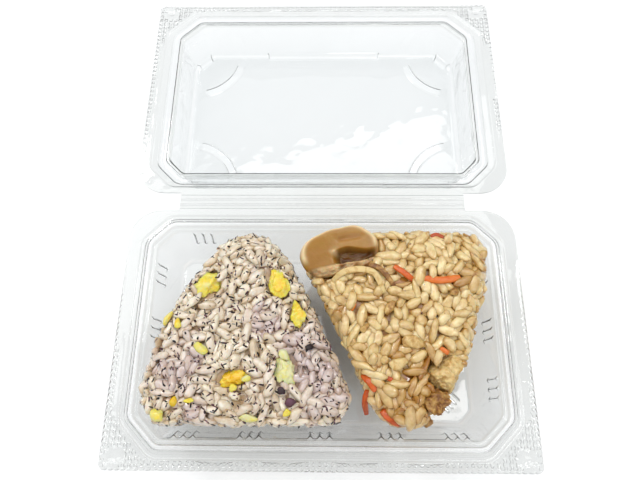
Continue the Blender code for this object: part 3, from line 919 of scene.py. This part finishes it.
def make_rice(ball, stones):
    """The grains of one rice ball, as two heaps: a full layer at the surface and one beneath."""
    rng = np.random.default_rng(ball.seed)
    node = ball.rice + "_ball"
    top = surface_samples(node, ball.toppings, rng, TOP_SPACING * ball.swell, 9000)
    under = surface_samples(node, ball.toppings, rng, UNDER_SPACING, 7000)
    start, normals = (np.concatenate(pair) for pair in zip(top, under))
    count, at_top = len(start), np.arange(len(start)) < len(top[0])
    halves = rng.uniform(*GRAIN_LENGTH, count) / 2 * ball.swell
    halves[rng.random(count) < BROKEN] *= 0.68
    radii = rng.uniform(*GRAIN_WIDTH, count) / 2 * ball.swell
    sink = TOP_SINK * rng.random(count) ** 1.5
    depths = np.where(at_top, radii * 1.02 + sink, UNDER_DEPTH)
    centres = start - normals * depths[:, None]
    spin = rng.normal(size=(count, 3))
    flat = unit(spin - np.sum(spin * normals, axis=1, keepdims=True) * normals)
    lean = np.radians(rng.normal(0, GRAIN_LEAN, count))[:, None]
    axes = unit(flat * np.cos(lean) + normals * np.sin(lean))
    relief = np.array([relief_at(place) for place in start]) * at_top
    lifts = GRAIN_LIFT * rng.random(count) ** 2 + 0.4 * np.maximum(-relief, 0)
    depths = depths + np.maximum(relief, 0) - lifts * at_top
    tree, rounds = node_tree(node), 40
    centres, axes = settle(centres, axes, halves, radii, depths, lifts, tree, stones,
                           ball.squeeze, rounds)
    frames = turned_about(axes, nearest_on(tree, centres)[1], rng.uniform(-0.5, 0.5, count))
    sizes = np.stack([halves, radii, radii * rng.uniform(0.66, 0.92, count)], axis=1)
    tones = rng.random(count)
    fine = [grain_shape(11, 10, rng) for _ in range(9)]
    plain = [grain_shape(8, 6, rng) for _ in range(5)]
    surface, beneath = Heap(), Heap()
    for k in range(count):
        shapes, heap = (fine, surface) if at_top[k] else (plain, beneath)
        shape, faces = shapes[k % len(shapes)]
        patch, height = patch_at(centres[k], ball), shape[:, 2]
        # grain ends and underside are darkened, the underside as painted shade in the cracks; the grain's
        # top is lightened as a painted highlight
        along = np.maximum(np.abs(shape[:, 0]), 0.72 + 0.28 * np.clip(0.15 - height, 0, 1))
        ridge = np.clip(height * 1.15, 0, 1) ** 2 * (1 - 0.5 * patch)
        paint = np.stack([np.full(len(shape), tones[k]), np.full(len(shape), patch), along, ridge], 1)
        heap.add(pressed((shape * sizes[k]) @ frames[k].T + centres[k]), faces, paint)
    return surface, beneath


def add_core(heap, ball):
    """Packed rice just under the surface grains, which closes the gaps between them. It keeps
    clear of the large toppings by sinking under them. Its colour is darkened throughout as
    painted shade in the gaps."""
    bm = bmesh.new()
    for vert in frame["nodes"][ball.rice + "_ball"].data.vertices:
        bm.verts.new(vert.co)
    hull = bmesh.ops.convex_hull(bm, input=bm.verts)
    inner = {e for key in ("geom_interior", "geom_unused") for e in hull[key]}
    inner = [e for e in inner if isinstance(e, bmesh.types.BMVert)]
    bmesh.ops.delete(bm, geom=inner, context="VERTS")
    bmesh.ops.remove_doubles(bm, verts=bm.verts, dist=0.0002)
    for _ in range(6):
        long_edges = [e for e in bm.edges if e.calc_length() > CORE_MESH]
        bmesh.ops.subdivide_edges(bm, edges=long_edges, cuts=1)
        bmesh.ops.triangulate(bm, faces=bm.faces)
    bm.normal_update()
    verts = []
    for vert in bm.verts:
        depth = CORE_DEPTH + CORE_LUMPS * noise.noise(vert.co * 280) + max(relief_at(vert.co), 0)
        verts.append(vert.co - vert.normal * depth)
    verts, faces = np.array(verts), [[vert.index for vert in face.verts] for face in bm.faces]
    bm.free()
    for low, high in (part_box(name) for name in ball.toppings if not name.startswith("pickle")):
        over = (verts[:, 2] > low.z) & np.all((verts[:, :2] > low.xy) & (verts[:, :2] < high.xy), 1)
        verts[over, 2] = low.z
    # tone at its darkest and full darkening: painted shade for the gaps between the grains
    paint = np.zeros((len(verts), 4))
    paint[:, 1] = [ball.stain + (1 - ball.stain) * patch_at(vert, ball) for vert in verts]
    paint[:, 2] = 1.0
    heap.add(verts, faces, paint)


def make_ball(ball, stones, finish):
    """One rice ball in its two pieces; gives back its surface grains."""
    surface, beneath = make_rice(ball, stones)
    add_core(beneath, ball)
    surface.serve(ball.rice + "_grains", finish, ball.rice, ball.rice + "_ball")
    beneath.serve(ball.rice + "_core", finish, ball.rice)
    return surface


# ---- what lies where, in millimetres ----
def mm(*rows):
    """Millimetres as metres."""
    return np.array(rows) / 1000


# Where a ball's second colour is strongest: x, y, radius.
LILAC_SPOTS = mm(
    (-4, -12, 11), (-49, -14, 10), (1, -27, 8), (-20, 2, 6), (-43, -31, 6), (-22, 24, 5)
)
SOAKED_SPOTS = mm((28, -30, 13), (40, -22, 13), (6, 4, 4), (25, -10, 4), (52, 18, 4))
# Hollows left between the grains: x, y, radius.
SHISO_GAPS = mm((-30, 4, 1.2), (-18, -26, 1.2))
MIXED_GAPS = mm(
    (42.5, -3.6, 2.0), (26.2, -9.8, 1.8), (30.0, -10.8, 1.8), (30.0, -18.0, 1.8),
    (10.0, 15.0, 2.0), (13.0, 15.2, 1.8), (18.5, 23.6, 1.6), (34.5, 1.0, 1.4),
)
# swell is the size of its grains, stain how far the rice below has its second colour, squeeze
# how much of a grain's width its neighbours keep off.
Ball = namedtuple("Ball", "rice toppings spots swell stain seed squeeze")
SHISO = Ball("shiso_rice", [f"pickle_{k}" for k in range(1, 6)], LILAC_SPOTS, 1.03, 0.0, 11, 0.65)
MIXED = Ball("mixed_rice", ["mushroom_piece", "fried_tofu_1", "fried_tofu_2"], SOAKED_SPOTS,
             1.10, 0.45, 23, 0.64)

# Bits laid on the rice: x, y, length, width, height, turn in degrees, tone from 0 to 1.
PICKLE_BITS = (
    (-56.0, 2.9, 6.2, 3.0, 2.4, 70, 0.45), (-51.2, 0.1, 4.8, 3.4, 2.6, 80, 0.70),
    (-41.5, -8.8, 6.6, 4.0, 2.6, -35, 0.35), (-25.1, -19.3, 3.8, 2.6, 2.0, 10, 0.20),
    (-29.7, -22.2, 3.6, 3.0, 2.2, -30, 0.55), (-50.0, -26.8, 4.2, 2.6, 2.4, 80, 0.95),
    (-44.8, -26.4, 4.4, 2.0, 1.8, 10, 0.60), (-55.2, -31.2, 6.0, 5.0, 3.4, -20, 0.40),
    (-11.2, -30.0, 3.6, 2.8, 2.2, 35, 0.55), (-24.4, -32.2, 7.8, 4.0, 2.6, 5, 0.10),
    (-12.5, -10.8, 5.0, 3.4, 2.2, -50, 0.05),
)
PURPLE_BITS = (
    (-3.5, -7.9, 3.6, 2.6, 1.8, 20, 0.2), (-12.8, -23.2, 3.6, 2.8, 1.8, -40, 0.6),
    (-9.8, -26.8, 4.4, 3.4, 2.0, 15, 0.9),
)
TOFU_BITS = (
    (32.5, -6.3, 9.4, 5.2, 3.4, -8, 0.75), (27.2, -13.5, 7.4, 5.2, 4.0, 22, 1.0),
    (25.0, 6.0, 6.0, 4.2, 3.0, 60, 0.6), (37.5, -33.0, 5.0, 3.6, 3.0, 30, 0.2),
    (49.0, 12.0, 4.2, 3.4, 2.6, 20, 0.3), (16.0, -1.0, 4.8, 3.0, 2.6, 40, 0.5),
)
# Strips: width, height, then points as x, y, how far below the outline.
CARROTS = (
    (2.2, 1.3, (27.2, 21.8, 0.4), (30.6, 19.0, -0.3), (33.8, 16.6, 0.8)),
    (2.7, 1.5, (37.8, 17.2, 0.4), (44.0, 16.3, -0.4), (51.2, 17.6, 0.4)),
    (1.6, 1.0, (41.8, 34.8, 0.2), (44.0, 35.2, -0.2), (46.6, 34.6, 0.4)),
    (1.8, 1.4, (42.2, -8.2, 0.4), (45.2, -10.0, 0.3)),
    (3.4, 1.6, (14.2, -17.2, 1.0), (17.0, -19.6, 0.4), (19.2, -22.6, 1.2)),
    (3.2, 1.8, (20.6, -29.6, 1.2), (23.6, -31.8, 0.4), (27.4, -34.0, 0.4)),
    (1.2, 1.0, (11.0, 5.2, 0.6), (12.6, 7.8, 0.6)),
    (1.6, 1.2, (23.2, -18.6, 0.6), (25.2, -19.2, 0.6)),
)
# Strips whose points are places in the world.
SIDE_CARROT = (2.2, 1.5, (16.6, -22.2, 26.2), (15.8, -25.8, 23.2), (16.6, -29.6, 18.0))
STEM_SHREDS = (
    (2.4, 1.2, (4.4, 16.6, 29.0), (8.6, 19.0, 33.0), (15.0, 19.8, 33.8), (20.0, 18.0, 33.4),
     (23.0, 11.6, 31.6)),
    (2.0, 1.2, (17.6, 22.2, 32.2), (22.0, 20.0, 33.4), (26.8, 14.2, 31.8)),
)
PICKLE_TONES, TOFU_TONES = (0.50, 0.66, 0.92, 0.06, 0.62), (0.85, 0.25)  # of the CAD's own nodes
PICKLE_SINK = Vector((0, 0, 0.0004))


# ---- toppings ----
def chunk(size, seed, cuts, rough, detail=4, edge=9, pores=0.0):
    """A chopped piece: a ball cut by smooth planes, then bent and roughened."""
    rng = np.random.default_rng(seed)
    bm = bmesh.new()
    bmesh.ops.create_icosphere(bm, subdivisions=detail, radius=1)
    verts = np.array([v.co for v in bm.verts])
    faces = [[v.index for v in f.verts] for f in bm.faces]
    bm.free()
    planes = unit(rng.normal(size=(cuts, 3)))
    faced = np.maximum(verts @ planes.T / rng.uniform(0.50, 0.82, cuts), 0) ** edge
    reach = (1 + faced.sum(axis=1)) ** (-1 / edge)
    shift = Vector((seed, 0, 0))
    for k, vert in enumerate(verts):
        reach[k] *= 1 + rough * noise.fractal(Vector(vert) * 2.2 + shift, 0.8, 2.0, 4)
    shaped = verts * reach[:, None] * np.array(size) / 2
    for k, point in enumerate(shaped if pores else ()):
        shaped[k] += verts[k] * pores * noise.fractal(Vector(point) * 620 + shift, 0.6, 2.1, 4)
    return shaped, faces


def outline_at(tree, x, y):
    """The place and normal of a rice ball's top over (x, y)."""
    place, normal, _, _ = tree.ray_cast(Vector((x, y, 0.06)), Vector((0, 0, -1)))
    if place is None:
        place, normal, _, _ = tree.find_nearest(Vector((x, y, 0.03)))
    return place, normal


def leave_gaps(stones, tree, gaps):
    stones += [(np.array(outline_at(tree, x, y)[0]), radius) for x, y, radius in gaps]


def add_bits(heap, stones, tree, bits, seed, sink, **shape):
    """Chopped bits pressed into the rice, and the room that the grains leave for them."""
    for k, (*lengths, turn, tone) in enumerate(bits):
        x, y, long, wide, high = mm(*lengths)
        place, normal = outline_at(tree, x, y)
        along = Vector((math.cos(math.radians(turn)), math.sin(math.radians(turn)), 0))
        side = normal.cross(along).normalized()
        axes = np.array([side.cross(normal), side, normal]).T
        middle = np.array(place - normal * (high * sink))
        verts, faces = chunk((long, wide, high), seed + k, detail=3, **shape)
        heap.add(verts @ axes.T + middle, faces, (tone, 0, 0, 1))
        for share in (-0.3, 0.0, 0.3):
            stones.append((middle + axes[:, 0] * share * long, 0.38 * min(wide, long)))


def smooth_path(points, steps):
    """A Catmull-Rom curve through the points."""
    rows = [points[0] * 2 - points[1], *points, points[-1] * 2 - points[-2]]
    made = []
    for a, b, c, d in zip(rows, rows[1:], rows[2:], rows[3:]):
        for i in range(steps):
            t = i / steps
            made.append(0.5 * ((2 * b) + (c - a) * t + (2 * a - 5 * b + 4 * c - d) * t**2
                               + (3 * b - a - 3 * c + d) * t**3))
    return made + [rows[-2]]


def strip(points, width, height, seed):
    """A cut strip with a rounded oblong section along a path of points."""
    taper, wave, sides = 0.25, 0.10, 12
    path = smooth_path(points, 6)
    last = len(path) - 1
    rings = []
    for i, point in enumerate(path):
        along = (path[min(i + 1, last)] - path[max(i - 1, 0)]).normalized()
        side = along.cross(Vector((0, 0, 1))).normalized()
        up = side.cross(along)
        end = 1 - taper * (2 * abs(i / last - 0.5)) ** 3
        for turn in around(sides):
            across, over = (math.copysign(abs(c) ** 0.55, c) for c in (math.cos(turn), math.sin(turn)))
            ripple = 1 + wave * noise.noise(point * 500 + Vector((seed, turn, 0)))
            rings.append(point + (side * across * width + up * over * height) / 2 * end * ripple)
    for tip, before in ((path[0], path[1]), (path[-1], path[-2])):
        rings.append(tip + (tip - before).normalized() * height * 0.15)
    return np.array(rings), tube(len(path), sides)


def add_strip(heap, stones, sizes, seed, tree=None):
    """A strip laid on the rice below the tree's outline, or along places in the world."""
    (width, height), points = mm(*sizes[:2]), mm(*sizes[2:])
    path = [Vector(point) for point in points]
    if tree:
        tops = [(*outline_at(tree, x, y), drop) for x, y, drop in points]
        path = [place - normal * (drop + height * 0.35) for place, normal, drop in tops]
    tone = 0.5 + 0.5 * math.sin(seed * 2.4)
    heap.add(*strip(path, width, height, seed), (tone, 0, 0, 1))
    stones += [(np.array(point), 0.45 * height) for point in smooth_path(path, 3)]


def make_topping(node, finish, slot, seed, tone, swell, sink=Vector(), degrees=180, **shape):
    """A chopped piece in its own CAD node's place."""
    low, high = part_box(node)
    verts, faces = chunk([a * b for a, b in zip(high - low, swell)], seed, **shape)
    heap = Heap()
    heap.add(verts + np.array((low + high) / 2 - sink), faces, (tone, 0, 0, 1))
    heap.serve(node + "_piece", finish, slot, node, degrees=degrees)


MUSHROOM_TURN = Matrix.Rotation(math.radians(16), 3, "Z")
MUSHROOM_HALF = Vector((0.0150, 0.0088))


def bell(value, middle, width):
    return math.exp(-(((value - middle) / width) ** 2))


def between(value, low, high, soft):
    return ease((value - low) / soft) * ease((high - value) / soft)


def mushroom_face(u, v, reach):
    """Height over the middle, and the paint, of the mushroom's upper face. u runs along the
    piece and v across it, both from -1 to 1. The paint holds the painted shade of the hollow
    and the lip's folds, the lip, the pale rim and bump lightened partly as a painted
    highlight, and the streak."""
    edge = -0.02 + 0.10 * math.sin(5.5 * u + 0.8) - 0.16 * max(u, 0) ** 2
    hollow = between(u, -0.24, 0.99, 0.24) * between(v, -0.64, edge, 0.14)
    folds = noise.fractal(Vector((u * 3.0, v * 5.0, 2.0)), 0.8, 2.0, 4)
    lip = ease((-0.48 - v) / 0.14)
    # pale rim, partly a painted highlight
    rim = bell(reach, 0.92, 0.07) * ease((v + 0.35) / 0.4)
    streak = bell(v, 0.42 - 0.08 * u, 0.11) * between(u, -0.08, 0.80, 0.25)
    bump = bell(u, -0.14, 0.085) * bell(v, -0.06, 0.12)
    height = 0.0046 + 0.0016 * v - 0.0010 * (u + 0.25) ** 2 - 0.0009 * (1 - v * v)
    height += 0.0007 * rim - 0.0040 * hollow - 0.0007 * streak + 0.0012 * bump
    height += hollow * 0.0008 * folds + lip * (0.0012 * folds - 0.0004)
    height += 0.00030 * noise.noise(Vector((u * 1.5, v * 1.5, 9.0)))
    soft_edge = (1 - reach**10) ** 0.5 if reach < 1 else 0.0
    # painted shade in the hollow and in the lip's folds
    shade = max(hollow * (0.85 + 0.4 * folds), 0.5 * lip * ease(-folds * 3)) * (1 - bump)
    return height * soft_edge, (shade, lip, max(rim, 0.8 * bump), 0.8 * streak)


def make_mushroom(finish):
    """One long slice of mushroom: a smooth cap face with a pale rim, partly a painted highlight,
    a hollow under its wavy edge painted dark as shade, and a crumpled lip in front."""
    low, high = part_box("mushroom_piece")
    steps, rings, under = 132, 36, 8
    verts, paint, faces = [], [], []
    for i in range(rings + under + 1):
        reach = i / rings if i <= rings else 1 - (i - rings) / (under + 1)
        for angle in around(steps):
            cos, sin = math.cos(angle), math.sin(angle)
            blunt = (abs(cos) ** 2.7 + abs(sin) ** 2.7) ** (-1 / 2.7)
            wavy = 1 + 0.10 * noise.noise(Vector((cos * 1.8, sin * 1.8, 4.0)))
            u, v = reach * blunt * cos, reach * blunt * sin
            height, colour = mushroom_face(u, v, reach)
            if i > rings:
                height = -0.0060 * (1 - reach**4)
            across = v * MUSHROOM_HALF.y * wavy * (1 + 0.04 * u)
            flat = Vector((u * MUSHROOM_HALF.x * wavy, across, height))
            verts.append(MUSHROOM_TURN @ flat + (low + high) / 2)
            paint.append(colour)
    for i in range(rings + under):
        faces += band((i + 1) * steps, i * steps, steps)
    faces.append(range(len(verts) - steps, len(verts)))
    heap = Heap()
    heap.add(np.array(verts), faces, np.array(paint))
    heap.serve("mushroom_slice", finish, "mushroom_cap", "mushroom_piece")


def add_flecks(heap, grains, places, rng, long, wide):
    """Thin flakes of leaf lying on the grains under the given points and normals."""
    surface = grains.tree()
    for point, normal in zip(*places):
        hit, facing, _, _ = surface.ray_cast(Vector(point + normal * 0.004), Vector(-normal), 0.012)
        if hit is None:
            continue
        length = rng.uniform(*long) * (0.6 + 0.4 * rng.random())
        width = min(rng.uniform(*wide), 0.8 * length)
        axis = unit(np.cross(facing, rng.normal(size=3)))
        side, rise, middle = np.cross(facing, axis), np.array(facing), np.array(hit)
        verts, faces = [], []
        for k, turn in enumerate(around(7)):
            reach = axis * math.cos(turn) * length + side * math.sin(turn) * width
            curl = rise * (0.00002 + 0.00006 * math.cos(2 * turn))
            verts.append(middle + reach / 2 * rng.uniform(0.7, 1.1) + curl)
            faces += [(k, (k + 1) % 7, 7), ((k + 1) % 7, k, 8)]
        verts += [middle + rise * 0.00012, middle - rise * 0.00012]
        heap.add(np.array(verts), faces, (rng.random(), 0, 0, 1))


# ---- the two rice balls and what lies on them ----
def make_toppings(pickle, tofu):
    """The toppings that are nodes of their own."""
    for number, tone in enumerate(PICKLE_TONES, 1):
        make_topping(f"pickle_{number}", pickle, "yellow_pickle", 70 + number, tone,
                     (1.14, 1.14, 0.8), PICKLE_SINK, 50, cuts=8, rough=0.34, edge=12, pores=0.0001)
    for number, tone in enumerate(TOFU_TONES, 1):
        make_topping(f"fried_tofu_{number}", tofu, "fried_tofu", 60 + number, tone,
                     (1.22, 1.22, 1.22), cuts=7, detail=5, rough=0.14, edge=18, pores=0.0008)
    make_mushroom(mushroom_material())


def make_shiso_ball(pickle, leaf, rng):
    """Pale rice with yellow pickle, flakes of leaf and lilac patches."""
    # the last two colours: random mottling and painted shade in the cracks, then the painted highlight on
    # the grains' tops
    rice = rice_material(
        "shiso_rice", ((0.66, 0.54, 0.37), (0.74, 0.63, 0.46), (0.83, 0.75, 0.60)),
        (0.60, 0.48, 0.46), (0.70, 0.54, 0.33), (0.92, 0.86, 0.76),
    )
    bits, flecks, stones, tree = Heap(), Heap(), [], node_tree("shiso_rice_ball")
    add_bits(bits, stones, tree, PICKLE_BITS, 300, 0.15, cuts=8, rough=0.08)
    add_bits(flecks, stones, tree, PURPLE_BITS, 330, 0.10, cuts=8, rough=0.20)
    leave_gaps(stones, tree, SHISO_GAPS)
    bits.serve("pickle_bits", pickle, "yellow_pickle", degrees=50)
    grains = make_ball(SHISO, stones, rice)
    places = surface_samples("shiso_rice_ball", [], rng, 0.0006, 2900)
    add_flecks(flecks, grains, places, rng, (0.0009, 0.0032), (0.0004, 0.0010))
    flecks.serve("shiso_flecks", leaf, "shiso_leaf")


def make_mixed_ball(tofu, leaf, rng):
    """Golden rice with bean curd, carrot and shreds of the mushroom's stem."""
    # the last two colours: random mottling and painted shade in the cracks, then the painted highlight on
    # the grains' tops
    rice = rice_material(
        "mixed_rice", ((0.58, 0.37, 0.11), (0.71, 0.52, 0.21), (0.85, 0.70, 0.38)),
        (0.47, 0.235, 0.028), (0.62, 0.37, 0.09), (0.93, 0.78, 0.45),
    )
    orange = ((0.0, (0.42, 0.060, 0.006)), (0.5, (0.64, 0.115, 0.010)), (1.0, (0.72, 0.19, 0.025)))
    carrot = tinted_material("carrot", orange, 0.35, roughness=0.26, subsurface_weight=0.35,
                             subsurface_scale=0.002)
    crumbs, strips, shreds, specks = Heap(), Heap(), Heap(), Heap()
    stones, tree = [], node_tree("mixed_rice_ball")
    add_bits(crumbs, stones, tree, TOFU_BITS, 400, 0.15, cuts=8, rough=0.22)
    for number, sizes in enumerate(CARROTS):
        add_strip(strips, stones, sizes, 500 + number, tree)
    add_strip(strips, stones, SIDE_CARROT, 520)
    for number, sizes in enumerate(STEM_SHREDS):
        add_strip(shreds, stones, sizes, 540 + number)
    leave_gaps(stones, tree, MIXED_GAPS)
    crumbs.serve("tofu_crumbs", tofu, "fried_tofu")
    strips.serve("carrot_strips", carrot, "carrot", degrees=60)
    shreds.serve("mushroom_shreds", tofu, "mushroom_cap")
    grains = make_ball(MIXED, stones, rice)
    places = surface_samples("mixed_rice_ball", [], rng, 0.003, 90)
    add_flecks(specks, grains, places, rng, (0.0005, 0.0013), (0.0003, 0.0007))
    specks.serve("mixed_rice_specks", leaf, "shiso_leaf")


def make_food():
    yellows = ((0.0, (0.70, 0.66, 0.36)), (0.35, (0.74, 0.65, 0.15)), (0.65, (0.84, 0.65, 0.07)),
               (1.0, (0.84, 0.48, 0.02)))
    pickle = tinted_material("yellow_pickle", yellows, 0.40, roughness=0.18,
                             subsurface_weight=0.60, subsurface_scale=0.003)
    browns = ((0.0, (0.20, 0.075, 0.014)), (0.3, (0.38, 0.19, 0.045)), (0.65, (0.58, 0.36, 0.115)),
              (1.0, (0.74, 0.55, 0.25)))
    tofu = tinted_material("fried_tofu", browns, 0.55, roughness=0.38, subsurface_weight=0.25,
                           subsurface_scale=0.002)
    purples = ((0.0, (0.008, 0.004, 0.004)), (0.6, (0.030, 0.012, 0.014)), (1.0, (0.14, 0.05, 0.08)))
    leaf = tinted_material("shiso_leaf", purples, 0.2, roughness=0.5)
    rng = np.random.default_rng(5)
    make_toppings(pickle, tofu)
    make_shiso_ball(pickle, leaf, rng)
    make_mixed_ball(tofu, leaf, rng)


# ---- floor, lights and camera ----
def make_stage():
    mesh = bpy.data.meshes.new("floor")
    size = 1.5
    corners = [(-size, -size, 0), (size, -size, 0), (size, size, 0), (-size, size, 0)]
    mesh.from_pydata(corners, [], [(0, 1, 2, 3)])
    floor = link("floor", mesh, new_material("floor", base_color=(0.95, 0.95, 0.95, 1), roughness=0.9)[0])
    floor.location.z = -0.0002


def make_lights():
    middle = (0, 0.04, 0)
    for name, place, target, size, power in (
        ("top_softbox", (-0.10, 0.34, 0.90), middle, (0.90, 0.42), 2.0),
        ("left_lamp", (-0.45, 0.50, 0.80), middle, (0.16, 0.16), 1.2),
        ("right_lamp", (0.50, 0.25, 0.85), middle, (0.16, 0.16), 1.1),
        ("right_card", (0.24, 0.040, 0.90), (0.05, -0.02, 0), (0.10, 0.17), 0.24),
        ("left_softbox", (-0.80, 0.10, 0.70), middle, (0.50, 0.50), 1.35),
        ("front_softbox", (0.30, -0.70, 0.80), middle, (0.60, 0.40), 1.1),
    ):
        data = bpy.data.lights.new(name, "AREA")
        data.shape = "RECTANGLE"
        data.size, data.size_y = size
        data.energy = power
        obj = bpy.data.objects.new(name, data)
        obj.location = place
        obj.rotation_euler = (Vector(target) - Vector(place)).to_track_quat("-Z", "Y").to_euler()
        bpy.context.scene.collection.objects.link(obj)
    world = bpy.data.worlds.new("studio")
    world.use_nodes = True
    tree = world.node_tree
    way = add_node(tree, "TexCoord").outputs["Generated"]
    rise = add_node(tree, "SeparateXYZ", {"Vector": way}).outputs["Z"]
    glow = ramp(tree, rise, [(0.0, (0.16, 0.16, 0.16)), (0.5, (0.64, 0.65, 0.66)),
                             (0.78, (0.92, 0.94, 0.96)), (1.0, (0.46, 0.47, 0.48))])
    feed(tree, tree.nodes["Background"].inputs["Color"], glow)
    bpy.context.scene.world = world


def make_camera():
    pitch, yaw, roll = (math.radians(a) for a in (CAMERA_PITCH, CAMERA_YAW, CAMERA_ROLL))
    level = Vector((math.cos(yaw), -math.sin(yaw), 0))
    ahead = Vector((math.sin(yaw), math.cos(yaw), 0))
    forward = ahead * math.cos(pitch) - Vector((0, 0, math.sin(pitch)))
    above = level.cross(forward)
    right = level * math.cos(roll) + above * math.sin(roll)
    up = above * math.cos(roll) - level * math.sin(roll)
    data = bpy.data.cameras.new("camera")
    data.lens = CAMERA_LENS
    data.sensor_width = 36
    data.clip_start = 0.01
    camera = bpy.data.objects.new("camera", data)
    turn = Matrix((right, up, -forward)).transposed().to_4x4()
    camera.matrix_world = Matrix.Translation(CAMERA_PLACE) @ turn
    bpy.context.scene.collection.objects.link(camera)
    bpy.context.scene.camera = camera


def make_pack():
    film = film_material()
    tray, lid, hinge = make_tray(film), make_lid(film), make_hinge(film)
    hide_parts("base_tray")
    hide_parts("lid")
    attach(tray, "tray")
    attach(lid, "lid")
    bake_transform(hinge)


make_camera()
make_stage()
make_lights()
scene = bpy.context.scene
scene.view_settings.view_transform = "Standard"
scene.cycles.transparent_max_bounces = 32
scene.cycles.max_bounces = 24
scene.cycles.transmission_bounces = 24
make_pack()
make_food()
